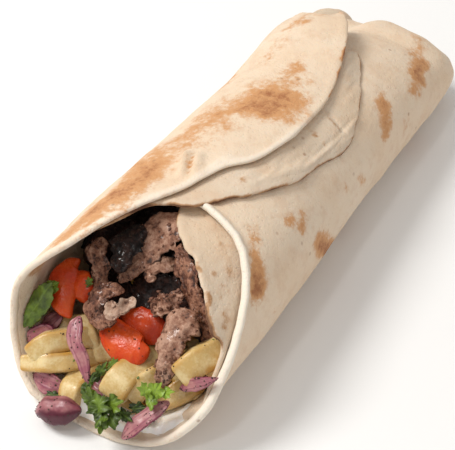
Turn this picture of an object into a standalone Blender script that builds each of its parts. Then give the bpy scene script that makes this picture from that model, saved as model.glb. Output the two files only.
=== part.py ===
# Doner kebab sandwich: a round two-ply flatbread rolled round meat, fries, tomato and onion.
#
# The roll lies along +Y with its open mouth at the front (-Y) and its closed end at the back.
# Shapes are worked out in millimetres and scaled to metres when a mesh is made. The origin is
# at the bottom centre of the finished sandwich, and it rests on its flattened underside.
#
# The bread is described in roll coordinates: an angle round the section in degrees (0 under the
# roll, + up the right side, - up the left side), a distance along the roll (past the shoulder it
# runs on over the closed end) and an offset outwards from the roll's mean surface.

import bpy
import bmesh
import math
import numpy as np

MM = 0.001
ORIGIN = np.array([-0.1, 103.3, 0.4])   # bottom centre of the finished sandwich, millimetres

# ---- the roll -----------------------------------------------------------------------------
STATIONS = [0, 35, 75, 115, 155, 178, 194]            # distances along the roll
HALF_WIDTHS = [36.4, 36.3, 35, 33, 31.8, 30.5, 29]    # half width at each station
HALF_HEIGHTS = [27.4, 27.5, 26.6, 25.1, 23, 20.2, 17]
CENTRES = [0.3, 0.6, 1, 1, 0.8, 0.9, 1.4]             # sideways drift of the roll's middle
SECTION_POWER = 2.25     # superellipse exponent of the section, 2 is an ellipse
FLAT_DEPTH = 1.0         # how far the underside is pressed flat
SHOULDER = 194           # where the closed end starts to turn in
END_DEPTH = 21           # how far the closed end bulges past the shoulder
END_HALF_WIDTH = 18      # half width and half height of the slit the end closes to
END_HALF_HEIGHT = 3.2
END_RISE = 6.5           # height of the slit's middle
END_ROUNDNESS = 0.75

# ---- the bread ----------------------------------------------------------------------------
PLY = 1.2                # thickness of one ply
PITCH = 1.8              # from one ply's middle to the next
FLAP_LIFT = 6.5          # how far the flap's tip stands off the roll
PINCH = 4.5              # depth of the hollow beside the flap's tip
COLUMN_STEP = 10         # degrees between a sheet's columns
BODY_ROWS = 6            # rows from a ply's front edge to where the roll closes
END_ROWS = 7             # rows over the closed end

# edges of the two plies: angle, distance along the roll
OUTER_FRONT = [(-199, 105), (-182, 74), (-168, 48), (-158, 34), (-140, 17), (-120, 11), (-90, 7),
               (-64, 2), (-30, -4), (0, -4), (28, -2), (60, 5), (84, 14), (102, 28), (131, 46.5),
               (160, 56), (205, 66), (218, 110), (230, 165)]
OUTER_BACK = [(-199, 128), (-190, 155), (-177, 176), (-165, 184), (-158, 185), (-150, 186),
              (-143, 188), (-136, 197), (-130, 214), (-125, 226), (230, 226)]
INNER_FRONT = [(-231, 116), (-211, 82), (-198, 69), (-181, 55), (-168, 50), (-150, 27), (-140, 19),
               (-120, 13), (-90, 9), (-64, 4), (-30, -2), (0, -3), (28, 0), (60, 7), (103, 25),
               (123, 27), (148, 37), (172, 45), (185, 58)]
INNER_BACK = [(-231, 122), (-221, 134), (-198, 154), (-185, 160), (-160, 170), (-120, 200),
              (185, 204)]

# ---- the mouth ----------------------------------------------------------------------------
MOUTH_LEAN = 41.3        # the mouth's plane climbs from the bottom lip at this angle
WALL_GAP = 0.5           # between the fillings and the bread
PIECE_GAP = 0.35         # between neighbouring pieces
CORE_BACK = 203          # where the packed filling ends

COLOURS = {
    "bread": ((0.80, 0.64, 0.46), 0.75),
    "meat": ((0.22, 0.09, 0.045), 0.5),
    "fries": ((0.70, 0.45, 0.16), 0.55),
    "tomato": ((0.62, 0.07, 0.03), 0.25),
    "onion": ((0.36, 0.13, 0.16), 0.35),
}


# ---- small maths --------------------------------------------------------------------------
def follow(x, xs, ys):
    """Monotone cubic curve through the points (xs, ys)."""
    xs = np.asarray(xs, float)
    ys = np.asarray(ys, float)
    step = np.diff(xs)
    slope = np.diff(ys) / step
    tangent = np.zeros(len(xs))
    tangent[0], tangent[-1] = slope[0], slope[-1]
    for i in range(1, len(xs) - 1):
        if slope[i - 1] * slope[i] > 0:
            near = 2 * step[i] + step[i - 1]
            far = step[i] + 2 * step[i - 1]
            tangent[i] = (near + far) / (near / slope[i - 1] + far / slope[i])
    x = np.clip(x, xs[0], xs[-1])
    k = np.clip(np.searchsorted(xs, x, side="right") - 1, 0, len(xs) - 2)
    t = (x - xs[k]) / step[k]
    return (ys[k] * (1 + 2 * t) * (1 - t) ** 2 + step[k] * tangent[k] * t * (1 - t) ** 2
            + ys[k + 1] * t * t * (3 - 2 * t) + step[k] * tangent[k + 1] * t * t * (t - 1))


def edge(angle, points):
    """Where a ply's edge lies at an angle."""
    return follow(angle, [p[0] for p in points], [p[1] for p in points])


def ease(x, low, high):
    t = np.clip((x - low) / (high - low), 0, 1)
    return t * t * (3 - 2 * t)


def signed_power(x, power):
    return np.sign(x) * np.abs(x) ** power


# ---- the roll's surface -------------------------------------------------------------------
def section(along):
    """Half width, half height, middle x and y of the section at a distance along the roll."""
    flat = np.minimum(along, SHOULDER)
    half_width = follow(flat, STATIONS, HALF_WIDTHS)
    half_height = follow(flat, STATIONS, HALF_HEIGHTS)
    return half_width, half_height, follow(flat, STATIONS, CENTRES), flat


def roll_point(angle, along, offset):
    """A point of the roll: superellipse sections that close to a low slit at the back."""
    angle, along, offset = np.broadcast_arrays(angle, along, offset)
    half_width, half_height, middle, flat = section(along)
    turn = np.clip((along - SHOULDER) / (END_DEPTH * math.pi / 2), 0, 1) * math.pi / 2
    open_part = np.abs(np.cos(turn)) ** END_ROUNDNESS
    bulge = np.sin(turn) ** END_ROUNDNESS
    rise = END_RISE + (half_height - END_RISE) * open_part
    half_width = END_HALF_WIDTH + (half_width - END_HALF_WIDTH) * open_part
    half_height = END_HALF_HEIGHT + (half_height - END_HALF_HEIGHT) * open_part
    sine = np.sin(np.radians(angle))
    cosine = np.cos(np.radians(angle))
    x = middle + (half_width + offset) * signed_power(sine, 2 / SECTION_POWER)
    y = flat + (END_DEPTH + offset) * bulge
    z = rise - (half_height + offset) * signed_power(cosine, 2 / SECTION_POWER)
    return np.stack([x, y, np.maximum(z, FLAT_DEPTH - offset)], -1)


def pinch(angle, along):
    """Hollow of the under layers beside the flap's tip."""
    across = ((angle + 360 * (angle < 0)) - 195) / 20
    return -PINCH * np.exp(-across ** 2 - ((along - 198) / 12) ** 2) * (along > 160)


def lift(angle, along, height):
    """How far the flap's tip stands off the roll."""
    return height * ease(along, 128, 180) * ease(-angle, 80, 140) * (1 - ease(along, 188, 206))


def outer_offset(angle, along):
    left = ease(-angle, 60, 140)
    right = ease(angle, 60, 150)
    return PITCH * (left - right) + lift(angle, along, FLAP_LIFT) + right * pinch(angle, along)


def inner_offset(angle, along):
    left = ease(-angle, 60, 140)
    right = ease(angle, 60, 150)
    sag = 2.4 * ease(angle, 95, 130) * (1 - ease(along, 35, 75))
    lifted = lift(angle, along, FLAP_LIFT * 0.6)
    return PITCH * (left - right - 1) - sag + lifted + right * pinch(angle, along)


def inner_face(angle, along):
    """Offset of the bread's innermost face, the angle within half a turn either way."""
    over = inner_offset(np.maximum(angle, -128), along)
    under = inner_offset(angle + 360 * (angle < 0), along)
    share = ease(-angle, 112, 128)
    return over + (under - over) * share - PLY / 2


def inside_wall(points, gap):
    """Points that would reach into the bread are drawn in to its inner face less the gap."""
    along = np.clip(points[:, 1], 0, SHOULDER)
    half_width, half_height, middle, _ = section(along)
    dx = points[:, 0] - middle
    dz = points[:, 2] - half_height
    angle = np.degrees(np.arctan2(signed_power(dx / half_width, SECTION_POWER / 2),
                                  -signed_power(dz / half_height, SECTION_POWER / 2)))
    room = inner_face(angle, along) - gap
    room_x = half_width + room
    room_z = half_height + room
    reach = (np.abs(dx / room_x) ** SECTION_POWER
             + np.abs(dz / room_z) ** SECTION_POWER) ** (1 / SECTION_POWER)
    pull = 1 / np.maximum(reach, 1)
    drawn = points.copy()
    drawn[:, 0] = middle + dx * pull
    drawn[:, 2] = half_height + dz * pull
    floor = FLAT_DEPTH + PITCH + PLY / 2 + gap
    drawn[:, 2] = np.maximum(drawn[:, 2], floor)
    return drawn


# ---- making objects -----------------------------------------------------------------------
def material(name):
    found = bpy.data.materials.get(name)
    if found is not None:
        return found
    colour, roughness = COLOURS[name]
    made = bpy.data.materials.new(name)
    made.use_nodes = True
    shader = made.node_tree.nodes["Principled BSDF"]
    shader.inputs["Base Color"].default_value = (*colour, 1)
    shader.inputs["Roughness"].default_value = roughness
    shader.inputs["Metallic"].default_value = 0.0
    return made


def make_object(name, points, faces, stuff):
    """Object from points in millimetres, with its faces turned outwards."""
    mesh = bpy.data.meshes.new(name)
    mesh.from_pydata([tuple(p) for p in (np.asarray(points) - ORIGIN) * MM], [], faces)
    mesh.materials.append(material(stuff))
    work = bmesh.new()
    work.from_mesh(mesh)
    bmesh.ops.remove_doubles(work, verts=work.verts, dist=0.000001)
    bmesh.ops.recalc_face_normals(work, faces=work.faces)
    work.to_mesh(mesh)
    work.free()
    made = bpy.data.objects.new(name, mesh)
    bpy.context.scene.collection.objects.link(made)
    return made


def ring_faces(rings, sides):
    """Quads between rings of points, and the two end caps."""
    faces = []
    for r in range(rings - 1):
        for s in range(sides):
            t = (s + 1) % sides
            faces.append((r * sides + s, r * sides + t, (r + 1) * sides + t, (r + 1) * sides + s))
    faces.append(tuple(range(sides))[::-1])
    faces.append(tuple(range((rings - 1) * sides, rings * sides)))
    return faces


# ---- bread --------------------------------------------------------------------------------
def flatbread_ply(name, front, back, offset):
    """One ply: a sheet of even thickness over the roll between its front and back edges."""
    first, last = front[0][0], front[-1][0]
    whole = range(int(math.ceil((first + 3) / COLUMN_STEP)), int((last - 3) // COLUMN_STEP) + 1)
    angles = np.array([first] + [COLUMN_STEP * k for k in whole] + [last], float)
    start = edge(angles, front)[:, None]
    stop = edge(angles, back)[:, None]
    knee = np.minimum(SHOULDER - 24, start + 0.8 * (stop - start))
    body = start + (knee - start) * np.linspace(0, 1, BODY_ROWS + 1)[None, :]
    closing = knee + (stop - knee) * np.linspace(0, 1, END_ROWS + 1)[None, 1:]
    along = np.concatenate([body, closing], 1)
    rows = along.shape[1]
    angle = np.repeat(angles[:, None], rows, 1)
    middle = offset(angle, along)
    skins = [roll_point(angle, along, middle + side * PLY / 2) for side in (1, -1)]
    points = np.concatenate([skin.reshape(-1, 3) for skin in skins])
    columns = len(angles)
    under = columns * rows
    faces = []
    for c in range(columns - 1):
        for r in range(rows - 1):
            a, b = c * rows + r, (c + 1) * rows + r
            faces.append((a, b, b + 1, a + 1))
            faces.append((under + a, under + a + 1, under + b + 1, under + b))
    rim = [c * rows for c in range(columns)]
    rim += [(columns - 1) * rows + r for r in range(1, rows)]
    rim += [c * rows + rows - 1 for c in range(columns - 2, -1, -1)]
    rim += [r for r in range(rows - 2, 0, -1)]
    for a, b in zip(rim, rim[1:] + rim[:1]):
        faces.append((a, b, under + b, under + a))
    return make_object(name, points, faces, "bread")


# ---- fillings -----------------------------------------------------------------------------
def mouth_point(across, up, out):
    """A point given across the mouth, up its slope, and out of its plane."""
    lean = math.radians(MOUTH_LEAN)
    return np.array([across, math.cos(lean) * up - math.sin(lean) * out,
                     math.sin(lean) * up + math.cos(lean) * out])


def along_path(path, count):
    """Evenly spaced points of a smooth curve through the path's points."""
    path = np.array([mouth_point(*p) for p in path])
    run = np.concatenate([[0], np.cumsum(np.linalg.norm(np.diff(path, axis=0), axis=1))])
    spaced = np.linspace(0, run[-1], count)
    return np.stack([follow(spaced, run, path[:, k]) for k in range(3)], -1)


def round_outline(width, thick, sides=8, power=2.8):
    """Rounded box section."""
    turn = 2 * math.pi * (np.arange(sides) + 0.5) / sides
    return np.stack([width / 2 * signed_power(np.cos(turn), 2 / power),
                     thick / 2 * signed_power(np.sin(turn), 2 / power)], -1)


def wedge_outline(width, thick):
    """Section of a tomato wedge: round skin on one side, tapering flesh on the other."""
    return np.array([(-0.5, 0.1), (-0.3, 0.42), (0.05, 0.5), (0.36, 0.3), (0.5, 0.02),
                     (0.36, -0.28), (0.02, -0.5), (-0.32, -0.36)]) * (width, thick)


def strip(name, stuff, path, width, thick, twist=(0, 0), taper=0.7, ruffle=0.0, grow=0.0,
          outline=round_outline, rings=8, keep_in=True):
    """A slice, stick or strip: an outline carried along a path, narrowing at its ends."""
    line = along_path(path, rings)
    heading = np.gradient(line, axis=0)
    heading /= np.linalg.norm(heading, axis=1)[:, None]
    lean = math.radians(MOUTH_LEAN)
    facing = np.array([0, -math.sin(lean), math.cos(lean)])
    points = []
    for i in range(rings):
        t = i / (rings - 1)
        size = taper + (1 - taper) * math.sin(math.pi * min(max(t, 0.0), 1.0)) ** 0.5
        wave = 1 + ruffle * math.sin(9.0 * t + width)
        shape = outline(width * size * wave + 2 * grow, thick * size + 2 * grow)
        side = np.cross(facing, heading[i])
        side /= np.linalg.norm(side)
        up = np.cross(heading[i], side)
        turn = math.radians(twist[0] + (twist[1] - twist[0]) * t)
        wide = side * math.cos(turn) + up * math.sin(turn)
        deep = up * math.cos(turn) - side * math.sin(turn)
        centre = line[i] + deep * ruffle * 2.5 * math.sin(7.0 * t + 2 * width)
        centre = centre + heading[i] * grow * ((i == rings - 1) - (i == 0))
        points.append(centre + shape[:, :1] * wide + shape[:, 1:] * deep)
    points = np.concatenate(points)
    if keep_in:
        points = inside_wall(points, WALL_GAP - 0.5 * grow)
    return make_object(name, points, ring_faces(rings, len(shape)), stuff)


def packed_filling(name, stuff, first, last, depth, rough, count=17):
    """Half of the packed filling: it runs from the mouth to the closed end inside the bread."""
    lean = math.radians(MOUTH_LEAN)
    outwards = np.array([0, -math.sin(lean), math.cos(lean)])
    angles = np.linspace(first, last, count)
    turned = np.where(angles < -180, angles + 360, angles)

    def arc(along):
        return roll_point(angles, along, inner_face(turned, along) - WALL_GAP)

    start = arc(np.full(count, 40.0))[:, 2] / math.tan(lean) + depth / math.sin(lean)
    rings = []
    for step in (0, 0.1, 0.25, 0.45, 0.65, 0.82, 0.93, 1):
        curve = arc(start + (CORE_BACK - start) * step)
        rings.append(np.concatenate([curve, np.linspace(curve[-1], curve[0], 7)[1:-1]]))
    mouth_ring = rings[0]
    middle = mouth_ring.mean(0)
    for shrink in (0.72, 0.4):
        ring = middle + (mouth_ring - middle) * shrink
        wave = np.sin(0.31 * ring[:, 0] + 0.17 * ring[:, 2]) + np.sin(0.5 * ring[:, 2] + shrink * 4)
        rings.insert(0, ring + rough * wave[:, None] * outwards)
    return make_object(name, np.concatenate(rings), ring_faces(len(rings), len(mouth_ring)), stuff)


# ---- clearances ---------------------------------------------------------------------------
def near(a, b, gap=0.001):
    """Whether two objects' boxes come within the gap of each other."""
    boxes = []
    for thing in (a, b):
        points = np.array([v.co for v in thing.data.vertices])
        boxes.append((points.min(0), points.max(0)))
    return bool(np.all(boxes[0][0] < boxes[1][1] + gap) and np.all(boxes[1][0] < boxes[0][1] + gap))


def boolean(piece, others, operation):
    """Cuts the others from a piece, or joins them to it, and keeps the piece's largest body."""
    for other in others:
        change = piece.modifiers.new(other.name, "BOOLEAN")
        change.operation = operation
        change.object = other
        change.solver = "EXACT"
    graph = bpy.context.evaluated_depsgraph_get()
    shaped = bpy.data.meshes.new_from_object(piece.evaluated_get(graph))
    piece.modifiers.clear()
    piece.data = shaped
    work = bmesh.new()
    work.from_mesh(shaped)
    bmesh.ops.remove_doubles(work, verts=work.verts, dist=0.00002)
    bmesh.ops.dissolve_degenerate(work, edges=work.edges, dist=0.00002)
    left = set(work.verts)
    bodies = []
    while left:
        body = {left.pop()}
        open_verts = set(body)
        while open_verts:
            vert = open_verts.pop()
            for joined in vert.link_edges:
                other_vert = joined.other_vert(vert)
                if other_vert in left:
                    left.remove(other_vert)
                    body.add(other_vert)
                    open_verts.add(other_vert)
        bodies.append(body)
    bodies.sort(key=len)
    for body in bodies[:-1]:
        bmesh.ops.delete(work, geom=list(body), context="VERTS")
    bmesh.ops.recalc_face_normals(work, faces=work.faces)
    work.to_mesh(shaped)
    work.free()


def as_guide(thing):
    thing.hide_render = True
    thing.display_type = "WIRE"
    return thing


# ---- the sandwich -------------------------------------------------------------------------
def build():
    for thing in list(bpy.data.objects):
        bpy.data.objects.remove(thing, do_unlink=True)

    flatbread_ply("flatbread_outer_ply", OUTER_FRONT, OUTER_BACK, outer_offset)
    flatbread_ply("flatbread_inner_ply", INNER_FRONT, INNER_BACK, inner_offset)

    # every piece in the mouth, the foremost first: its path (across, up, out), width, thickness
    pieces = [
        ("onion_long", "onion", [(-14, 29, 12), (-12, 24, 13), (-6.5, 18.5, 12), (-2, 12.5, 10)],
         5.5, 2.4, {}),
        ("onion_skin", "onion", [(-16, -3.5, 9), (-11, 0, 10), (-6.5, 1.5, 10), (-2, 3, 9)],
         8, 3.4, {"keep_in": False}),
        ("onion_right", "onion", [(25, 23, 6), (31, 27, 9), (36, 30, 12)], 4, 2.2,
         {"keep_in": False}),
        ("meat_curl", "meat",
         [(-3.5, 47, 9), (-9.5, 43, 11), (-11.5, 37, 11), (-8, 32.5, 11), (-1.5, 34.5, 11)],
         6.5, 3.2, {"ruffle": 0.14, "rings": 9}),
        ("meat_low", "meat",
         [(18.5, 44.5, 8), (17.4, 38.5, 9), (18.3, 32.8, 9), (19.7, 27, 9), (21.8, 21.5, 8)],
         10.5, 3.8, {"ruffle": 0.14}),
        ("meat_char", "meat", [(-11, 63, 6), (-12, 58.5, 8), (-11, 53, 9), (-9, 48.5, 9)], 9, 3.0,
         {"ruffle": 0.12}),
        ("tomato_left", "tomato",
         [(-28.5, 44, 5), (-29, 38, 6), (-27, 32.5, 6), (-22.4, 29, 6), (-17, 29.5, 6)], 7.5, 5.5,
         {"outline": wedge_outline}),
        ("tomato_middle", "tomato",
         [(-7.5, 32, 5), (-3.5, 28.5, 5), (2.5, 26, 6), (8.6, 26.3, 6), (9.5, 31, 5)], 9.5, 6,
         {"outline": wedge_outline}),
        ("onion_bottom", "onion", [(15.3, 2.9, 9), (18.2, 9, 9), (22, 15, 8)], 5.5, 2.6, {}),
        ("meat_top", "meat", [(0, 73, 1), (-3.5, 66, 2), (-6, 57, 4), (-8.5, 48, 4)], 11, 3.2,
         {"ruffle": 0.1}),
        ("meat_left", "meat",
         [(-21, 56, 6), (-19.2, 50.6, 6), (-15.5, 45.5, 5), (-15.4, 40, 5), (-15.5, 35, 4)],
         6.5, 2.8, {"ruffle": 0.12}),
        ("meat_right", "meat", [(6, 62, 3), (10, 58, 4), (16.6, 52.5, 4), (22.5, 46.5, 3)], 8, 3.2,
         {"ruffle": 0.14}),
        ("meat_small", "meat", [(5, 43.6, 4), (8.5, 45.3, 5), (12, 48.5, 5)], 6.5, 3,
         {"ruffle": 0.12}),
        ("onion_left", "onion", [(-29.5, 14.5, 6), (-27.5, 19, 6), (-24.5, 21.5, 5)], 6.5, 2.6, {}),
        ("onion_low", "onion", [(-24.5, 6, 6), (-19, 6.5, 6), (-13, 7, 6)], 6, 2.4, {}),
    ]
    # fries that stand out of the heap
    fries = [
        ([(-26, 14.3, 8), (-22, 19.8, 7), (-14, 25, -5)], 7),
        ([(-26.5, 9.5, 8), (-19, 13, 7), (-9, 19, -4)], 5.5),
        ([(-9, 4.5, 5), (-9.3, 9, 4), (-8.7, 17, -6)], 7.5),
        ([(5.2, 13, 7), (6.1, 19, 6), (8, 27, -6)], 10),
        ([(10.5, 15, 5), (12.4, 20, 4), (16, 28, -6)], 7.5),
        ([(24, 28, 6), (27.6, 34, 5), (31, 41, -7)], 9),
    ]

    made, clearances = [], []
    for name, stuff, path, width, thick, more in pieces:
        piece = strip(name, stuff, path, width, thick, **more)
        clearance = strip(name + "_clearance", stuff, path, width, thick, grow=PIECE_GAP, **more)
        blockers = [c for c in clearances if near(piece, c)]
        if blockers:
            boolean(piece, blockers, "DIFFERENCE")
        made.append(piece)
        clearances.append(as_guide(clearance))

    heap = packed_filling("fries_heap", "fries", -89.3, 89.3, 3.0, 1.0)
    sticks = [strip("fry_" + str(k), "fries", path, width, width * 0.85, taper=0.8)
              for k, (path, width) in enumerate(fries)]
    boolean(heap, sticks, "UNION")
    boolean(heap, [c for c in clearances if near(heap, c)], "DIFFERENCE")
    for stick in sticks:
        bpy.data.objects.remove(stick, do_unlink=True)

    core = packed_filling("meat_packed", "meat", -269.3, -90.7, 5.0, 1.3)
    boolean(core, [c for c in clearances if near(core, c)], "DIFFERENCE")
    for clearance in clearances:
        bpy.data.objects.remove(clearance, do_unlink=True)


build()
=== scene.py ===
# Doner kebab sandwich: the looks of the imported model, in metres, in the model's own frame.
# Lengths inside the shape functions are millimetres, turned into metres when a mesh is made.
import bpy
import math
import numpy as np
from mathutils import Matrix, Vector


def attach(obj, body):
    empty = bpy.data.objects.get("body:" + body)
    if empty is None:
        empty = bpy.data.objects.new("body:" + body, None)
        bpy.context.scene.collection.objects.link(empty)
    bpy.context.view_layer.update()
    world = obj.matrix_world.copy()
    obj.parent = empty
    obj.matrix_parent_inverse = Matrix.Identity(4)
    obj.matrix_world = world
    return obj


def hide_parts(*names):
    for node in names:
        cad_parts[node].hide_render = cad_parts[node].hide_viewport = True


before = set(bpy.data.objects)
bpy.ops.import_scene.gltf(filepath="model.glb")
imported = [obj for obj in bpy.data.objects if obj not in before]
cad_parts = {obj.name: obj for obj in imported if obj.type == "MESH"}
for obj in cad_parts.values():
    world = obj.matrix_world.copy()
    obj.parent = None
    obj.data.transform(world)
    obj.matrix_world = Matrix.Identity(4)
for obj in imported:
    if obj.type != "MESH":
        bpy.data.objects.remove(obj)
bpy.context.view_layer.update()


# ---- plain maths ----

def follow(x, xs, ys):
    # monotone cubic curve through the points (xs, ys): Hermite pieces with harmonic mean slopes
    xs, ys = np.asarray(xs, float), np.asarray(ys, float)
    step = np.diff(xs)
    slope = np.diff(ys) / step
    tangent = np.concatenate([slope[:1], np.zeros(len(xs) - 2), slope[-1:]])
    if len(xs) > 2:
        near, far = 2 * step[1:] + step[:-1], step[1:] + 2 * step[:-1]
        rising = slope[:-1] * slope[1:] > 0
        safeA, safeB = np.where(rising, slope[:-1], 1), np.where(rising, slope[1:], 1)
        tangent[1:-1] = np.where(rising, (near + far) / (near / safeA + far / safeB), 0)
    x = np.clip(x, xs[0], xs[-1])
    k = np.clip(np.searchsorted(xs, x, side="right") - 1, 0, len(xs) - 2)
    t = (x - xs[k]) / step[k]
    return (ys[k] * (1 + 2 * t) * (1 - t) ** 2 + step[k] * tangent[k] * t * (1 - t) ** 2
            + ys[k + 1] * t * t * (3 - 2 * t) + step[k] * tangent[k + 1] * t * t * (t - 1))


def ease(x, low, high):
    # smooth step, 3t^2 - 2t^3, from 0 at low to 1 at high
    t = np.clip((x - low) / (high - low), 0, 1)
    return t * t * (3 - 2 * t)


def signedPower(x, power):
    # the power of the size, with the sign kept
    return np.sign(x) * np.abs(x) ** power


def cellNoise(points, size, seed=0):
    # smooth noise from -1 to 1: random values at the corners of cubic cells, blended between them
    scaled = np.asarray(points, float) / size
    cell = np.floor(scaled).astype(np.int64)
    f = scaled - cell
    f = f * f * (3 - 2 * f)

    def corner(i, j, k):
        n = (cell[..., 0] + i) * 374761393 + (cell[..., 1] + j) * 668265263
        n = n + (cell[..., 2] + k) * 1103515245 + seed * 97463477
        n = n & 0xFFFFFFFF
        n = ((n ^ (n >> 13)) * 1274126177) & 0xFFFFFFFF
        n = ((n ^ (n >> 16)) * 2246822519) & 0xFFFFFFFF
        return ((n >> 9) & 0xFFFF) / 32767.5 - 1

    x, y, z = f[..., 0], f[..., 1], f[..., 2]
    low = (corner(0, 0, 0) * (1 - x) + corner(1, 0, 0) * x) * (1 - y)
    low = low + (corner(0, 1, 0) * (1 - x) + corner(1, 1, 0) * x) * y
    high = (corner(0, 0, 1) * (1 - x) + corner(1, 0, 1) * x) * (1 - y)
    high = high + (corner(0, 1, 1) * (1 - x) + corner(1, 1, 1) * x) * y
    return low * (1 - z) + high * z


def layeredNoise(points, size, layers=3, seed=0):
    # sum of cell noises, each half as strong and half as wide as the one before
    total = 0
    for layer in range(layers):
        total = total + cellNoise(points, size / 2 ** layer, seed + layer * 7) / 2 ** layer
    return total


def stack3(x, y, z):
    # one array of points from three coordinates of any shapes that go together
    return np.stack(np.broadcast_arrays(x, y, z), -1).astype(float)


# ---- the roll ----

roll = {
    "origin": (-0.1, 103.3, 0.4),   # the model's origin in the roll's own millimetres
    "stations": (0, 35, 75, 115, 155, 178, 194),
    "halfWidth": (36.4, 36.3, 35, 33, 31.8, 30.5, 29),
    "halfHeight": (27.4, 27.5, 26.6, 25.1, 23, 20.2, 17),
    "centre": (0.3, 0.6, 1, 1, 0.8, 0.9, 1.4),
    "power": 2.25,
    "flat": 1.0,
    "shoulder": 194,
    "endDepth": 21,
    "endHalfWidth": 18,
    "endHalfHeight": 1.75,
    "endRise": 6.5,
    "endRound": 0.75,
    "ply": 1.25,
    "pitch": 1.8,
    "flapLift": 6.5,
    "innerLift": 3.9,
    "sag": 2.4,                     # how far the inner ply hangs into the top of the mouth
    "pinch": 4.5,                   # depth, place and size of the dent beside the flap's tip
    "pinchAt": (217, 203),
    "pinchSize": (19, 13),
    "pinchFrom": 160,
    "mouthLean": 41.3,
}


def toModel(points):
    # the roll's millimetres to the model's metres
    return (np.asarray(points) - np.array(roll["origin"])) * 0.001


def softFloor(z, lowest):
    # z held above lowest, with a soft bend of half a millimetre instead of a crease
    d = z - lowest
    return lowest + 0.5 * (d + np.sqrt(d * d + 0.16))


def rollPoint(angle, along, offset):
    # superellipse section at the distance along, pushed out by the offset; past the shoulder
    # the section shrinks with the cosine of a quarter turn to a low slit and y follows its sine
    angle, along, offset = np.broadcast_arrays(angle, along, offset)
    flat = np.minimum(along, roll["shoulder"])
    halfWidth = follow(flat, roll["stations"], roll["halfWidth"])
    halfHeight = follow(flat, roll["stations"], roll["halfHeight"])
    centre = follow(flat, roll["stations"], roll["centre"])
    quarter = math.pi / 2
    turn = np.clip((along - roll["shoulder"]) / (roll["endDepth"] * quarter), 0, 1) * quarter
    openPart = np.abs(np.cos(turn)) ** roll["endRound"]
    bulge = np.sin(turn) ** roll["endRound"]
    rise = roll["endRise"] + (halfHeight - roll["endRise"]) * openPart
    halfWidth = roll["endHalfWidth"] + (halfWidth - roll["endHalfWidth"]) * openPart
    halfHeight = roll["endHalfHeight"] + (halfHeight - roll["endHalfHeight"]) * openPart
    sine, cosine = np.sin(np.radians(angle)), np.cos(np.radians(angle))
    x = centre + (halfWidth + offset) * signedPower(sine, 2 / roll["power"])
    y = flat + (roll["endDepth"] + offset) * bulge
    z = rise - (halfHeight + offset) * signedPower(cosine, 2 / roll["power"])
    return stack3(x, y, softFloor(z, roll["flat"] - offset))


def pinch(angle, along):
    # minus a Gaussian in angle and distance, with left-hand angles counted on past the top
    across = ((angle + 360 * (angle < 0)) - roll["pinchAt"][0]) / roll["pinchSize"][0]
    ahead = (along - roll["pinchAt"][1]) / roll["pinchSize"][1]
    return -roll["pinch"] * np.exp(-across ** 2 - ahead ** 2) * (along > roll["pinchFrom"])


def lift(angle, along, height):
    # the flap rises off the roll towards its tip and comes down again behind it
    return height * ease(along, 128, 180) * ease(-angle, 80, 140) * (1 - ease(along, 188, 206))


def outerOffset(angle, along):
    # the middle of the outer ply spirals out by one pitch up the left side and in up the right
    left, right = ease(-angle, 60, 140), ease(angle, 60, 150)
    lifted = lift(angle, along, roll["flapLift"])
    return roll["pitch"] * (left - right) + lifted + right * pinch(angle, along)


def innerOffset(angle, along):
    # one pitch inside the outer ply, and lower where it sags into the top of the mouth
    left, right = ease(-angle, 60, 140), ease(angle, 60, 150)
    sag = roll["sag"] * ease(angle, 95, 130) * (1 - ease(along, 35, 75))
    lifted = lift(angle, along, roll["innerLift"])
    return roll["pitch"] * (left - right - 1) - sag + lifted + right * pinch(angle, along)


def innerFace(angle, along):
    # what the filling rests against: the inner ply's left turn as far as the right turn's end
    over = innerOffset(np.maximum(angle, -128), along)
    under = innerOffset(angle + 360 * (angle < 0), along)
    return over + (under - over) * ease(-angle, 112, 128) - roll["ply"] / 2


def insideWall(points, gap):
    # points that reach into the bread are drawn in, along the section's rays, to its inner face
    along = np.clip(points[..., 1], 0, roll["shoulder"])
    halfWidth = follow(along, roll["stations"], roll["halfWidth"])
    halfHeight = follow(along, roll["stations"], roll["halfHeight"])
    centre = follow(along, roll["stations"], roll["centre"])
    dx, dz = points[..., 0] - centre, points[..., 2] - halfHeight
    power = roll["power"]
    angle = np.degrees(np.arctan2(signedPower(dx / halfWidth, power / 2),
                                  -signedPower(dz / halfHeight, power / 2)))
    room = innerFace(angle, along) - gap
    reach = (np.abs(dx / (halfWidth + room)) ** power
             + np.abs(dz / (halfHeight + room)) ** power) ** (1 / power)
    pull = 1 / np.maximum(reach, 1)
    lowest = roll["flat"] + roll["pitch"] + roll["ply"] / 2 + gap
    return stack3(centre + dx * pull, points[..., 1], np.maximum(halfHeight + dz * pull, lowest))


def mouthPoint(across, up, out):
    # the mouth's plane climbs from the bottom lip at the lean angle; out is its outward normal
    lean = math.radians(roll["mouthLean"])
    c, s = math.cos(lean), math.sin(lean)
    return stack3(across, c * np.asarray(up) - s * np.asarray(out),
                  s * np.asarray(up) + c * np.asarray(out))


# ---- meshes ----

def gridQuads(rows, columns, wrap=False):
    # four corners of every cell of a grid whose point (i, j) has the number i * columns + j
    i = np.arange(rows - 1)[:, None]
    j = np.arange(columns if wrap else columns - 1)[None, :]
    k = (j + 1) % columns
    return np.stack(np.broadcast_arrays(i * columns + j, i * columns + k,
                                        (i + 1) * columns + k, (i + 1) * columns + j),
                    -1).reshape(-1, 4)


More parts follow.
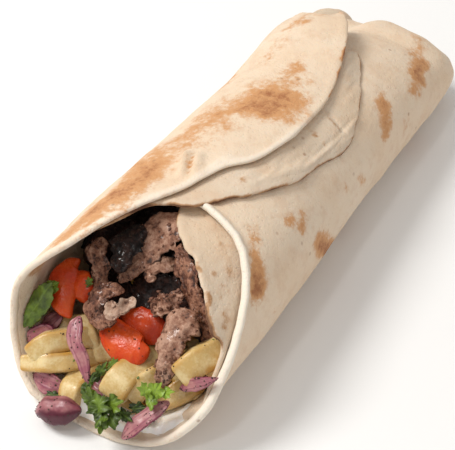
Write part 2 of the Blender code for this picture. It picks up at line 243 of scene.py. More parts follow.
def makePiece(name, points, faces, material, node=None, values=None):
    # object at the origin from points in millimetres and arrays of faces, with point attributes
    mesh = bpy.data.meshes.new(name)
    lists = []
    for group in faces:
        lists += group.tolist()
    mesh.from_pydata(toModel(points).tolist(), [], lists)
    for key, value in (values or {}).items():
        layer = mesh.attributes.new(key, "FLOAT", "POINT")
        layer.data.foreach_set("value", np.asarray(value, np.float32).ravel())
    mesh.polygons.foreach_set("use_smooth", np.full(len(mesh.polygons), True))
    mesh.materials.append(material)
    mesh.update()
    piece = bpy.data.objects.new(name, mesh)
    bpy.context.scene.collection.objects.link(piece)
    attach(piece, "root")
    if node:
        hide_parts(node)


def turnOutwards(points, *groups):
    # reverses the faces when the signed volume of their fans from the origin is negative
    volume = 0.0
    for group in groups:
        corner = points[group]
        for k in range(1, group.shape[1] - 1):
            volume += (corner[:, 0] * np.cross(corner[:, k], corner[:, k + 1])).sum()
    return [group[:, ::-1] if volume < 0 else group for group in groups]


def twoSkins(top, bottom):
    # two grids of points over the same cells that share their border
    columns, rows = top.shape[:2]
    grid = np.arange(columns * rows).reshape(columns, rows)
    below = grid.copy()
    below[1:-1, 1:-1] = columns * rows + np.arange((columns - 2) * (rows - 2)).reshape(columns - 2, -1)
    points = np.concatenate([top.reshape(-1, 3), bottom[1:-1, 1:-1].reshape(-1, 3)])
    quads = gridQuads(columns, rows)
    return points, turnOutwards(points, np.concatenate([quads, below.ravel()[quads][:, ::-1]]))


def closedTube(points):
    # the grid of rings with each end ring drawn to one point
    rings, around = points.shape[:2]
    poles = np.stack([points[0].mean(0), points[-1].mean(0)])
    j = np.arange(around)
    k = (j + 1) % around
    count = (rings - 2) * around
    last = count - around
    tris = np.concatenate([np.stack([np.full(around, count), k, j], -1),
                           np.stack([np.full(around, count + 1), last + j, last + k], -1)])
    tube = np.concatenate([points[1:-1].reshape(-1, 3), poles])
    return tube, turnOutwards(tube, gridQuads(rings - 2, around, True), tris)


def tubeValues(grid):
    # one value for each point of closedTube
    return np.concatenate([grid[1:-1].ravel(), [grid[0].mean(), grid[-1].mean()]])


def joinTubes(grids):
    # several closed tubes as one list of points, quads and triangles
    points, quads, tris, count = [], [], [], 0
    for grid in grids:
        tube, (fours, threes) = closedTube(grid)
        points.append(tube)
        quads.append(fours + count)
        tris.append(threes + count)
        count += len(tube)
    return np.concatenate(points), [np.concatenate(quads), np.concatenate(tris)]


# ---- shaders ----

class Sock:
    # a node's output, so that shader maths is written as plain expressions
    def __init__(self, shade, socket):
        self.shade = shade
        self.socket = socket

    def maths(self, operation, first, second):
        return self.shade.node("Math", {"operation": operation}, {0: first, 1: second})

    def __add__(self, other):
        return self.maths("ADD", self, other)

    __radd__ = __add__

    def __sub__(self, other):
        return self.maths("SUBTRACT", self, other)

    def __rsub__(self, other):
        return self.maths("SUBTRACT", other, self)

    def __mul__(self, other):
        return self.maths("MULTIPLY", self, other)

    __rmul__ = __mul__

    def between(self, low, high):
        # 0 at low and beyond, 1 at high and beyond, a smooth step between
        return self.shade.node("MapRange", {"interpolation_type": "SMOOTHSTEP"},
                               {"Value": self, "From Min": low, "From Max": high})


class Shade:
    # one material: its Principled shader, and one method that makes any other node
    def __init__(self, name, **fixed):
        self.material = bpy.data.materials.new(name)
        self.material.use_nodes = True
        self.tree = self.material.node_tree
        self.surface = self.tree.nodes["Principled BSDF"]
        for key, value in fixed.items():
            self.surface.inputs[key.replace("_", " ")].default_value = value
        self.place = self.node("TexCoord", out="Object")

    def node(self, kind, settings=None, inputs=None, out=0):
        made = self.tree.nodes.new("ShaderNode" + kind)
        for key, value in (settings or {}).items():
            setattr(made, key, value)
        for key, value in (inputs or {}).items():
            if isinstance(value, Sock):
                self.tree.links.new(value.socket, made.inputs[key])
            else:
                made.inputs[key].default_value = value
        return Sock(self, made.outputs[out])

    def noise(self, scale, detail=3.0, roughness=0.55, distortion=0.0, stretch=None):
        place = self.place
        if stretch is not None:
            place = self.node("Mapping", None, {"Vector": place, "Scale": stretch})
        return self.node("TexNoise", None, {"Vector": place, "Scale": scale, "Detail": detail,
                                            "Roughness": roughness, "Distortion": distortion})

    def cells(self, scale):
        return self.node("TexVoronoi", None, {"Vector": self.place, "Scale": scale}, "Distance")

    def value(self, name):
        return self.node("Attribute", {"attribute_name": name}, out="Fac")

    def mix(self, factor, first, second):
        # inputs 6 and 7 and output 2 are the Mix node's colours
        first, second = [c if isinstance(c, Sock) else (*c, 1) for c in (first, second)]
        return self.node("Mix", {"data_type": "RGBA"}, {0: factor, 6: first, 7: second}, 2)

    def bump(self, height, distance, strength):
        return self.node("Bump", None, {"Height": height, "Distance": distance,
                                        "Strength": strength})

    def feed(self, **sockets):
        for key, value in sockets.items():
            self.tree.links.new(value.socket, self.surface.inputs[key.replace("_", " ")])
        return self.material


def breadMaterial(name, pale, warm, shade, tan, brown):
    # cream crumb with warmer and greyer patches, toasted blotches and spots of painted shade broken up by
    # two noises, small freckles, and a paler rim that is partly the bread's own paler edge and partly
    # painted light
    s = Shade(name, Subsurface_Weight=0.08, Subsurface_Scale=0.0015,
              Subsurface_Radius=(1.0, 0.6, 0.35))
    soft = s.noise(34, 4, 0.6)
    mottle = s.noise(190, 5, 0.65)
    grain = s.noise(1000, 3, 0.6)
    blotch = s.noise(420, 5, 0.68)
    toastAndShade = s.value("toastAndShade")
    rim = s.value("rim")
    cream = s.mix(soft.between(0.35, 0.65), pale, warm)
    cream = s.mix(mottle.between(0.46, 0.68) * 0.5, cream, shade)
    cream = s.mix(blotch.between(0.56, 0.72) * 0.35, cream, shade)
    # the rim's paler colour: the bread's own paler edge and painted light
    cream = s.mix(rim, cream, (0.88, 0.79, 0.67))
    near = toastAndShade.between(0.0, 0.25)
    cooked = toastAndShade + ((mottle - 0.5) * 1.1 + (blotch - 0.5) * 1.0 + (grain - 0.5) * 0.35) * near
    colour = s.mix(cooked.between(0.06, 0.62), cream, tan)
    colour = s.mix(cooked.between(0.58, 1.15), colour, brown)
    freckle = s.cells(170).between(0.17, 0.05) * s.noise(55, 2).between(0.52, 0.66)
    colour = s.mix(freckle * 0.6, colour, (0.33, 0.16, 0.075))
    pores = s.cells(620).between(0.05, 0.32)
    height = grain * 0.45 + mottle * 1.1 + pores * 0.3 + blotch * 0.5
    return s.feed(Base_Color=colour, Roughness=0.64 + mottle * 0.18,
                  Normal=s.bump(height, 0.0006, 0.6))


print("functions ready")


# ---- bread ----

bread = {
    "edgeRadius": 0.75,
    "puff": 0.2,        # swelling along every edge
    "rimPuff": 0.7,     # how much more the right-hand rim of the mouth swells
    "settle": 0.3,      # share of the flap's lift that its edge gives up
    "feather": 7,       # how far the inner ply thins out towards the lip
    "degree": 0.6,      # millimetres round the roll to a degree
    "waves": (0.85, 30, 0.32, 11, 0.08, 3.2),   # height and size of three layers of unevenness
}

# the plies' front and back edges: angle from the underside, distance along the roll
outerFront = ((-199, 105), (-193, 87), (-182, 74), (-177, 61), (-168, 48), (-158, 34), (-150, 25),
              (-140, 17), (-120, 11), (-90, 7), (-64, 2), (-30, -4), (0, -4), (28, -2), (60, 5),
              (84, 14), (93, 21.5), (102, 28), (112, 35), (131, 46.5), (141, 51), (160, 56),
              (205, 66), (218, 110), (230, 165))
outerBack = ((-199, 126), (-197, 134), (-190, 150), (-182, 165), (-176, 176), (-165, 185),
             (-158, 185), (-150, 186), (-143, 188), (-136, 197), (-130, 214), (-125, 227),
             (230, 227))
innerFront = ((-231, 116), (-223, 103), (-219, 91), (-211, 82), (-198, 69), (-181, 55),
              (-168, 50), (-158, 36), (-150, 27), (-140, 19), (-120, 13), (-90, 9), (-64, 4),
              (-30, -2), (0, -3), (28, 0), (60, 7), (84, 16), (103, 25), (112, 24), (123, 27),
              (135, 32), (148, 37), (160, 41), (172, 45), (180, 51), (185, 58))
innerBack = ((-231, 122), (-226, 130), (-220, 138), (-205, 153), (-195, 162), (-185, 168),
             (-160, 168), (-140, 172), (-120, 180), (-100, 196), (185, 204))

# toasted spots, and some spots of painted shade: angle, along, half sizes (degrees, mm), tilt (mm per
# degree), strength
outerSpots = (
    # the spot on the next line paints shade along the pleat's valley
    (-170, 72, 3.2, 1.3, 1.66, 0.75),
    (114, 48, 12, 4.2, 0.22, 0.9), (124, 53, 11, 3, 0.25, 0.6), (112, 47, 5, 2, 0.2, 0.6),
    (138, 61, 10, 4, 0.2, 0.34), (127, 76, 5.5, 3, 0, 0.6), (118, 79, 4.5, 2.6, 0, 0.6),
    (122, 83, 5, 2.2, 0, 0.4), (80, 92, 19, 4.6, -0.28, 0.95), (70, 96, 12, 5, -0.25, 0.6),
    (92, 86, 8, 3, -0.2, 0.5), (89, 53, 5, 2.4, 0, 0.3), (104, 110, 8, 1.8, 0, 0.25),
    (98, 121, 10, 2.2, -0.3, 0.3), (114, 147, 11, 5.5, 0.15, 0.7), (129, 153, 9, 5.5, 0.2, 0.7),
    (118, 173, 8, 5, 0.1, 0.65), (131, 184, 11, 7.5, 0.25, 0.85), (133, 191, 8, 4.5, 0, 0.6),
    (120, 181, 7, 4, 0, 0.5), (148, 193, 7, 4.5, 0, 0.35), (152, 202, 14, 4, 0, 0.3),
    (95, 160, 13, 6, 0, 0.2),
    (-176, 118, 15.5, 9.5, 0.1, 0.95), (-168, 112, 9, 6, 0, 0.55), (-184, 124, 8, 5, 0, 0.6),
    (-176, 134, 8, 6, 0, 0.42), (-172, 141, 7, 4, 0, 0.4), (-153, 104, 15, 14, 0, 0.42),
    (-150, 88, 12, 16, 0, 0.34), (-164, 96, 9, 6, 0, 0.3), (-172, 86, 8, 5, 0, 0.22),
    (-150, 52, 13, 19, -0.3, 0.75), (-146, 47, 7, 7, 0, 0.7), (-142, 36, 8, 8, 0, 0.65),
    (-148, 66, 10, 7, 0, 0.55), (-156, 44, 6, 5, 0, 0.4), (-136, 26, 9, 6, 0, 0.5),
    (-152, 166, 8, 8, 0, 0.35), (-160, 181, 9, 6, 0, 0.4), (-150, 148, 8, 10, 0, 0.25),
    (-130, 70, 14, 10, 0, 0.55), (-112, 40, 12, 8, 0.1, 0.6), (-100, 95, 16, 9, -0.1, 0.65),
    (-84, 60, 9, 6, 0, 0.45), (-120, 132, 14, 8, 0.1, 0.6), (-92, 158, 13, 7, 0, 0.55),
    (-70, 120, 14, 9, 0, 0.6), (-62, 30, 10, 7, 0, 0.5), (-50, 172, 14, 8, 0, 0.6),
    (-40, 75, 16, 9, 0.1, 0.65), (-22, 130, 15, 10, 0, 0.6), (-10, 30, 14, 8, 0, 0.55),
    (0, 95, 13, 9, 0, 0.6), (12, 168, 15, 9, 0, 0.65), (26, 60, 14, 8, 0.1, 0.6),
    (38, 120, 15, 9, 0, 0.6), (50, 25, 11, 6, 0, 0.45), (54, 178, 13, 7, 0, 0.55),
    (62, 150, 10, 6, 0, 0.4), (-112, 190, 12, 6, 0, 0.5), (-30, 205, 16, 5, 0, 0.45),
    (70, 205, 14, 5, 0, 0.4), (20, 214, 20, 4, 0, 0.4), (-90, 212, 14, 4, 0, 0.4),
)
innerSpots = (
    (-207, 114, 3.5, 1.4, 0, 0.6), (-215, 113, 2.5, 1.2, 0, 0.4), (-193, 76, 3, 1.5, 0, 0.5),
    (-200, 71, 2, 1, 0, 0.5), (-212, 125, 9, 0.9, 0.1, 0.32), (-150, 30, 8, 7, 0, 0.95),
    (-138, 24, 11, 6, 0, 0.95), (-162, 43, 9, 6, 0, 0.9), (-120, 18, 12, 5, 0, 0.7),
    (120, 26, 8, 1.6, 0.3, 0.7), (134, 33, 5, 1.4, 0.3, 0.7), (152, 39, 4, 1.2, 0.2, 0.6),
    (110, 30, 3, 1.2, 0, 0.45), (126, 36, 3, 1, 0, 0.45), (142, 41, 3, 1, 0, 0.5),
    (131, 40, 2, 0.8, 0, 0.5), (118, 33, 2, 0.8, 0, 0.5), (-95, 16, 9, 5, 0, 0.35),
    # the three spots on the next line paint the shadow that the outer ply's rim casts on the inner ply
    (131, 44, 10, 4, 0.35, 0.2), (112, 33, 8, 3, 0.6, 0.2), (155, 53, 12, 4, 0.2, 0.2),
)


def spotValue(angle, along, spots, place, seed):
    # one minus the product of what each soft ellipse leaves, with the ellipses' rims warped
    warpA, warpB = [layeredNoise(place, 9, 3, key) * 0.42 for key in (seed, seed + 50)]
    left = np.ones(np.shape(angle))
    for a, w, halfA, halfW, tilt, strength in spots:
        da = (angle - a) / halfA + warpA
        dw = (along - w - tilt * (angle - a)) / halfW + warpB
        left = left * (1 - strength * np.exp(-(da * da + dw * dw) ** 1.15))
    return 1 - left


def edgeWith(angle, points, ragged, seed):
    # a ply's edge curve, frayed by noise along it
    base = follow(angle, *zip(*points))
    run = stack3(angle * bread["degree"], base, 0)
    return base + ragged * layeredNoise(run, 4.5, 3, seed)


def spread(count, crowd):
    # steps from 0 to 1 that crowd towards both ends: a mix of an even run and half a cosine
    k = np.linspace(0, 1, count)
    return (1 - crowd) * k + crowd * (0.5 - 0.5 * np.cos(math.pi * k))


def thickness(toFront, toEdge, pressed, flush, rimmed):
    # half a ply's thickness and the share of it that is left: it falls as a quarter circle
    # towards every edge, thins to a feather at the lip, and swells in Gaussians along its rims
    falling = 1 - np.clip(toEdge / bread["edgeRadius"], 0, 1)
    nose = np.sqrt(np.clip(1 - falling ** 2, 0, 1))
    feather = pressed * (1 - ease(toFront, 0, bread["feather"]))
    nose = nose * (1 - 0.75 * feather) * (1 - 0.6 * flush)
    swell = bread["puff"] * np.exp(-((toEdge - 1.6) / 1.4) ** 2)
    swell = swell + bread["rimPuff"] * rimmed * np.exp(-((toFront - 1.5) / 1.3) ** 2)
    return (roll["ply"] / 2 + swell) * nose, nose, feather


def plyMesh(name, ply):
    # two skins over the grid (angle, along), half a thickness either side of the ply's middle.
    # The middle adds waves of noise, the ply's own features, and what its raised edges settle.
    outer = name == "outerPly"
    first, last = ply["front"][0][0], ply["front"][-1][0]
    angles = first + (last - first) * spread(ply["columns"], 0.25)
    frontEdge = edgeWith(angles, ply["front"], ply["ragged"], ply["seed"])
    backEdge = np.maximum(edgeWith(angles, ply["back"], ply["ragged"], ply["seed"] + 3), frontEdge + 2)
    along = frontEdge[:, None] + (backEdge - frontEdge)[:, None] * spread(ply["rows"], 0.55)[None, :]
    angle = np.repeat(angles[:, None], ply["rows"], 1)
    slopeF, slopeB = [1 / np.sqrt(1 + (np.gradient(edge, angles) / bread["degree"]) ** 2)
                      for edge in (frontEdge, backEdge)]
    toFront = (along - frontEdge[:, None]) * slopeF[:, None]
    toBack = (backEdge[:, None] - along) * slopeB[:, None]
    toSide = np.minimum(angle - first, last - angle) * bread["degree"]
    toEdge = np.minimum(np.minimum(toFront, toBack), toSide)

    pressed, flush, rimmed = 0, 0, np.zeros_like(angle)
    if outer:
        rimmed = ease(angle, -165, -140) * (1 - ease(angle, 185, 205)) * (0.5 + 0.5 * ease(angle, 30, 70))
    else:
        pressed = ease(angle, -165, -150) * (1 - ease(angle, 70, 84))
        flush = ease(along, 92, 108) * ease(-angle, 190, 204)
    half, nose, feather = thickness(toFront, toEdge, pressed, flush, rimmed)

    middle = ply["offset"](angle, along)
    shared = rollPoint(angle, along, middle)
    heightA, sizeA, heightB, sizeB, heightC, sizeC = bread["waves"]
    wave = heightA * cellNoise(shared, sizeA, 11) + heightB * cellNoise(shared, sizeB, 12)
    wave = wave * ease(shared[..., 2], 1.5, 9)
    fine = heightC * cellNoise(shared, sizeC, ply["seed"] + 13) * ease(shared[..., 2], 1.5, 5)
    middle = middle + wave + ply["features"](angle, along, toFront)
    raised = lift(angle, along, roll["flapLift"] if outer else roll["innerLift"])
    nearEdge = np.minimum(toFront, toSide) if outer else toEdge
    settle = bread["settle"] if outer else 1
    middle = middle - settle * raised * (1 - ease(nearEdge, 0, 9)) * ease(-angle, 158, 170)
    if outer:
        tuck = (1 - ease(toBack, 0, 9)) * ease(-angle, 112, 124) * (1 - ease(-angle, 156, 168))
        laid = roll["ply"] - roll["pitch"] + 0.1 + pinch(angle, along)
        middle = middle + (laid - middle) * tuck
    middle = middle + feather * (0.35 + roll["ply"] / 2 * (1 - nose)) - 0.45 * flush
    outside = rollPoint(angle, along, middle + half + fine * nose)
    inside = rollPoint(angle, along, middle - half + fine * nose)
    table = roll["origin"][2] + 0.05
    outside[..., 2] = softFloor(outside[..., 2], table)
    inside[..., 2] = softFloor(inside[..., 2], table + roll["ply"] * 0.5 * nose)
    points, faces = twoSkins(outside, inside)

    frayed = cellNoise(shared, 3.2, ply["seed"] + 21) * 0.6 + cellNoise(shared, 9, ply["seed"] + 22) * 0.7
    if outer:
        seen = 0.12 + ease(along, 124, 132) * (1 - ease(along, 158, 166)) * ease(-angle, 150, 165)
    else:
        seen = np.maximum(ease(-angle, 120, 150), ease(angle, 90, 110))
    # edge toast browns the plies' edges where they show; along the inner ply's edges it also paints the
    # shade in the gap beside them
    edgeToastAndShade = np.exp(-np.clip(toEdge, 0, 9) / ply["edgeToastAndShadeWidth"]) * np.clip(frayed * 1.6 + 0.5, 0, 1) * seen
    toastAndShade = spotValue(angle, along, ply["spots"], shared, ply["seed"])
    toastAndShade = np.clip(toastAndShade * (1 - 0.8 * rimmed * np.exp(-(toFront / 2.2) ** 4)) + edgeToastAndShade * 1.5, 0, 1.3)
    # rim: a paler band along the mouth's edge, partly the bread's own paler edge and partly painted light
    rim = np.exp(-(toFront / 2.6) ** 4) * np.maximum(rimmed, 0.6 * outer)
    inner = slice(1, -1)
    values = {key: np.concatenate([grown.ravel(), grown[inner, inner].ravel() * under])
              for key, grown, under in (("toastAndShade", toastAndShade, 0.8), ("rim", rim, 1))}
    makePiece(name, points, faces, ply["look"], ply["node"], values)


def outerFeatures(angle, along, toFront):
    # a pleat on the flap, a narrow valley between two ridges; the rim and the flap's edge curl
    # up in Gaussians; sine folds at the closed end, whose tongue swells under the flap
    da, dw = (angle + 170) * 0.6, along - 72
    length, across = 0.34 * da + 0.94 * dw, -0.94 * da + 0.34 * dw
    hold = np.exp(-(length / 6) ** 4)
    pleat = hold * (-0.7 * np.exp(-(across / 0.8) ** 2) + 2.7 * np.exp(-((across + 1.8) / 1.2) ** 2)
                    + 1.7 * np.exp(-((across - 1.8) / 1.2) ** 2))
    curl = 1.0 * np.exp(-(toFront / 2.6) ** 2) * ease(angle, 60, 90) * (1 - ease(angle, 170, 190))
    flap = 0.5 * np.exp(-(toFront / 3) ** 2) * ease(-angle, 150, 175)
    folds = ease(along, 184, 200) * 0.35 * np.sin(np.radians(angle) * 11 + along * 0.05)
    folds = folds * (0.4 + 0.6 * np.clip(cellNoise(stack3(angle * 0.5, along * 0.2, 0), 7, 5), 0, 1))
    closed = 1.8 * ease(angle, 200, 226) * ease(along, 196, 208)
    return pleat + curl + flap + folds + closed


def innerFeatures(angle, along, toFront):
    # the margin that shows past the flap curls up in a low ridge beside its edge
    top = ease(-angle, 185, 200)
    ridge = 0.8 * np.exp(-((toFront - 5) / 2.4) ** 2) - 0.35 * np.exp(-((toFront - 9.5) / 3) ** 2)
    crease = -0.5 * np.exp(-((along - 125 - (angle + 220) * 0.15) / 1.0) ** 2)
    return top * (ridge + crease * ease(-angle, 196, 204) * (1 - ease(-angle, 219, 224)))


outerBread = breadMaterial("outerBread", (0.80, 0.65, 0.495), (0.78, 0.60, 0.43),
                           (0.70, 0.50, 0.345), (0.62, 0.315, 0.135), (0.36, 0.135, 0.05))
# the inner ply is the same flatbread in darker colours, painted shade where it lies inside the roll and
# under the flap
innerBreadPaintedShade = breadMaterial("innerBreadPaintedShade", (0.72, 0.59, 0.455), (0.69, 0.535, 0.385),
                           (0.66, 0.47, 0.32), (0.46, 0.25, 0.12), (0.15, 0.065, 0.03))
plies = {
    "outerPly": dict(
        front=outerFront, back=outerBack, columns=270, rows=165, ragged=0.28, seed=31,
        offset=outerOffset, features=outerFeatures, spots=outerSpots, edgeToastAndShadeWidth=0.7,
        look=outerBread, slot="bread_outer", node="flatbread_outer_ply"),
    "innerPly": dict(
        front=innerFront, back=innerBack, columns=240, rows=130, ragged=0.75, seed=57,
        offset=innerOffset, features=innerFeatures, spots=innerSpots, edgeToastAndShadeWidth=0.45,
        look=innerBreadPaintedShade, slot="bread_inner", node="flatbread_inner_ply"),
}
for name, ply in plies.items():
    plyMesh(name, ply)
print("bread made")


# ---- fillings ----

def boxOutline(around, power):
    # superellipse of the given power, x and y from -1 to 1
    v = 2 * math.pi * np.arange(around) / around
    return signedPower(np.cos(v), 2 / power), signedPower(np.sin(v), 2 / power)


def sweep(path, rings, around, lumps, lumpSize, seed, power=2.6, blunt=2.6, thin=0.5, cup=0.0,
          wave=0.0, waveCount=2.0, ragged=0.0, fibre=0.0, gap=0.45, shape=None):
    # a strip carried along a path. Path rows are across, up, out, width, thickness, twist.
    # At t the section's size is (1 - |2t - 1|^blunt)^thin, so both ends close round. The section
    # is cupped by cup times x squared, waved along its length, frayed by noise at its two edges,
    # and pushed out by lumps and by fibres drawn out along the strip; with a gap it stays that far
    # inside the bread. The relief is the push as a number about a half.
    rows = np.asarray(path, float)
    line = mouthPoint(rows[:, 0], rows[:, 1], rows[:, 2])
    run = np.concatenate([[0], np.cumsum(np.linalg.norm(np.diff(line, axis=0), axis=1))])
    t = spread(rings, 0.5)
    s = t * run[-1]
    centre = np.stack([follow(s, run, line[:, k]) for k in range(3)], -1)
    width, thick, twist = [follow(s, run, rows[:, k]) for k in (3, 4, 5)]
    heading = np.gradient(centre, axis=0)
    heading /= np.linalg.norm(heading, axis=1)[:, None] + 1e-9
    side = np.cross(mouthPoint(0, 0, 1), heading)
    side /= np.linalg.norm(side, axis=1)[:, None] + 1e-9
    up = np.cross(heading, side)
    turn = np.radians(twist)[:, None]
    side, up = (side * np.cos(turn) + up * np.sin(turn), up * np.cos(turn) - side * np.sin(turn))

    size = np.clip(1 - np.abs(2 * t - 1) ** blunt, 0, 1) ** thin
    ox, oy = [np.atleast_2d(v) for v in (shape(around) if shape else boxOutline(around, power))]
    edge = np.sign(ox) * np.ones((rings, 1))
    fray = layeredNoise(stack3(s[:, None], edge * 9, 0), 2.2, 3, seed) * np.abs(ox)
    x = ox * (width * size)[:, None] / 2 * (1 + ragged * fray)
    y = oy * (thick * size ** 0.6)[:, None] / 2 * (1 - 0.35 * np.abs(ox) ** 4 * (ragged > 0))
    bend = cup * width[:, None] * (ox ** 2 - 0.4) * size[:, None]
    ripple = wave * np.sin(waveCount * 2 * math.pi * t + seed)[:, None] * (0.4 + 0.8 * ox)
    rise = y + bend + ripple * size[:, None]
    points = centre[:, None] + side[:, None] * x[..., None] + up[:, None] * rise[..., None]

    outward = side[:, None] * ox[..., None] / 2 + up[:, None] * oy[..., None]
    outward /= np.linalg.norm(outward, axis=-1)[..., None] + 1e-9
    local = stack3(s[:, None] / 5.0, (ox * width[:, None] / 2) / 0.75, oy * 1.5)
    push = lumps * layeredNoise(points, lumpSize, 3, seed + 5)
    push = push + fibre * cellNoise(local, 1.0, seed + 9)
    push = push + 0.45 * fibre * layeredNoise(points, 1.3, 2, seed + 15)
    points = points + outward * (push * np.minimum(size * 1.6, 1)[:, None])[..., None]
    if gap is not None:
        points = insideWall(points, gap)
    relief = 0.5 + push / (2.2 * lumps + 1.2 * fibre + 0.01)
    return points, ox * np.ones((rings, 1)), oy * np.ones((rings, 1)), relief


skins = {}   # each piece's grid of points, for what is strewn on it


def sweepPiece(name, material, slot, piece, rules, **shape):
    # a swept strip with one attribute for every rule, which takes the grid and the section's x, y
    grid, ox, oy, relief = sweep(piece["path"], **shape)
    skins[name] = grid
    points, faces = closedTube(grid)
    values = {key: tubeValues(rule(grid, ox, oy)) for key, rule in rules.items()}
    values["relief"] = tubeValues(relief)
    makePiece(name, points, faces, material, piece["node"], values)


def meatMaterial(name, dark, mid, light, gloss, wetScale=300, shine=0.5, crust=0.0008):
    # brown meat: painted shade in the hollows and painted light on the ridges, grain along the slice,
    # smoother oily patches
    s = Shade(name, Specular_IOR_Level=shine, Coat_Roughness=0.12)
    sear = s.value("sear")
    relief = s.value("relief")
    big = s.noise(170, 4, 0.6)
    fine = s.noise(1100, 4, 0.7)
    grain = s.noise(560, 4, 0.65, 0.8, (1, 0.28, 1))
    # the relief in the tone paints the hollows dark and the ridges light
    tone = relief * 0.5 + big * 0.3 + grain * 0.5 + (fine - 0.5) * 0.8 - 0.15
    colour = s.mix(tone.between(0.40, 0.70), mid, light)
    colour = s.mix(tone.between(0.43, 0.24), colour, dark)
    colour = s.mix((sear + (big - 0.5) * 0.9 + (fine - 0.5) * 0.4).between(0.4, 0.85), colour, dark)
    wet = s.noise(wetScale, 4, 0.65).between(0.48, 0.60)
    height = grain * 0.9 + fine * 0.8 + big * 0.5
    return s.feed(Base_Color=colour, Roughness=0.62 - wet * gloss, Coat_Weight=wet * gloss * 1.7,
                  Normal=s.bump(height, crust, 0.85))


def friesMaterial():
    # potato: pale cut flesh, deeper yellow fried skin at the corners, grains of starch
    s = Shade("friedPotato", Subsurface_Weight=0.1, Subsurface_Scale=0.002,
              Subsurface_Radius=(1.0, 0.6, 0.2))
    crust = s.value("crust")
    soft = s.noise(170, 3, 0.6)
    grain = s.noise(1300, 2, 0.5)
    colour = s.mix((soft + (grain - 0.5) * 0.4).between(0.35, 0.68), (0.62, 0.415, 0.15),
                   (0.77, 0.60, 0.31))
    colour = s.mix((crust + (soft - 0.5) * 0.7).between(0.3, 0.95), colour, (0.55, 0.30, 0.065))
    oily = s.noise(240, 3, 0.6).between(0.45, 0.6)
    height = soft * 0.8 + grain * 0.5
    return s.feed(Base_Color=colour, Roughness=0.46 - oily * 0.2,
                  Normal=s.bump(height, 0.0005, 0.5))


def tomatoMaterial():
    # tomato: red wet flesh, darker towards the core, with pale streaks
    s = Shade("tomato", Specular_IOR_Level=0.35)
    core = s.value("core")
    soft = s.noise(150, 3, 0.6)
    streak = s.noise(480, 3, 0.6, 0.4, (1, 1, 0.4))
    colour = s.mix(soft.between(0.3, 0.7), (0.59, 0.046, 0.008), (0.69, 0.092, 0.014))
    colour = s.mix(core.between(0.3, 0.9), colour, (0.32, 0.018, 0.006))
    colour = s.mix(streak.between(0.62, 0.8) * 0.4, colour, (0.76, 0.21, 0.06))
    return s.feed(Base_Color=colour, Roughness=0.16 + streak * 0.22,
                  Normal=s.bump(streak * 0.7 + soft, 0.0008, 0.6))


def onionMaterial(name, pale, lilac, skin):
    # red onion: see-through pale flesh with veins along the strip and a purple skin side
    s = Shade(name, Subsurface_Weight=0.12, Subsurface_Scale=0.002,
              Subsurface_Radius=(1.0, 0.5, 0.55))
    dye = s.value("dye")
    vein = s.value("vein")
    soft = s.noise(230, 3, 0.6)
    colour = s.mix(soft.between(0.32, 0.66), pale, lilac)
    colour = s.mix((dye + (soft - 0.5) * 0.7).between(0.25, 0.85), colour, skin)
    colour = s.mix(vein.between(0.55, 0.9) * 0.45, colour, skin)
    return s.feed(Base_Color=colour, Roughness=0.24 + soft * 0.2,
                  Normal=s.bump(vein * 0.6 + soft, 0.0004, 0.6))


meatMid = meatMaterial("roastMeat", (0.045, 0.015, 0.008), (0.27, 0.114, 0.064),
                       (0.52, 0.295, 0.20), gloss=0.3)
# near-black meat: painted shade for the back slice, the sheets in the gaps and the packed core
paintedShadeMeat = meatMaterial("meatInPaintedShade", (0.003, 0.001, 0.0008), (0.010, 0.0035, 0.0025),
                        (0.040, 0.014, 0.009), gloss=0.3, shine=0.2)
meatBurnt = meatMaterial("burntMeat", (0.002, 0.001, 0.0008), (0.006, 0.0025, 0.002),
                         (0.04, 0.015, 0.01), gloss=0.56, wetScale=620, shine=0.3,
                         crust=0.0028)
meatPale = meatMaterial("paleMeat", (0.13, 0.058, 0.036), (0.40, 0.235, 0.16),
                        (0.60, 0.42, 0.31), gloss=0.2)
meatRed = meatMaterial("redMeat", (0.018, 0.005, 0.003), (0.13, 0.043, 0.022),
                       (0.40, 0.185, 0.11), gloss=0.36)
fries = friesMaterial()
tomato = tomatoMaterial()
onionPale = onionMaterial("onionFlesh", (0.48, 0.22, 0.215), (0.33, 0.10, 0.13),
                          (0.17, 0.012, 0.055))
onionDark = onionMaterial("onionSkin", (0.40, 0.165, 0.17), (0.25, 0.062, 0.082),
                          (0.085, 0.006, 0.02))


def searRule(grid, ox, oy):
    # seared near the long edges, in patches
    return np.clip(np.abs(ox) ** 6 * (0.7 + 0.6 * cellNoise(grid, 5, 3)), 0, 1)


def crustRule(grid, ox, oy):
    # fried skin on the stick's four corners
    return np.clip((np.abs(ox) * np.abs(oy)) ** 1.5 * 1.7, 0, 1) * (0.6 + 0.5 * cellNoise(grid, 4, 8))


def coreRule(grid, ox, oy):
    # darker wet flesh towards the wedge's underside
    return ease(oy, -0.2, -0.9)


def deepRule(grid, ox, oy):
    # the same darker flesh all over
    return 0.62 + 0 * ox


def cutRule(grid, ox, oy):
    # a slice whose lower edge keeps its dark skin
    return np.clip(0.45 - 1.5 * ox + 0.35 * cellNoise(grid, 4, 6), 0, 1)


def dyeRule(grid, ox, oy):
    # purple along both long edges
    return np.clip(np.abs(ox) ** 5, 0, 1) * (0.75 + 0.5 * cellNoise(grid, 6, 4))


def veinRule(grid, ox, oy):
    # a sine across the strip, shaken by noise
    return 0.5 + 0.5 * np.sin(ox * 11 + 0.6 * cellNoise(grid, 5, 2))


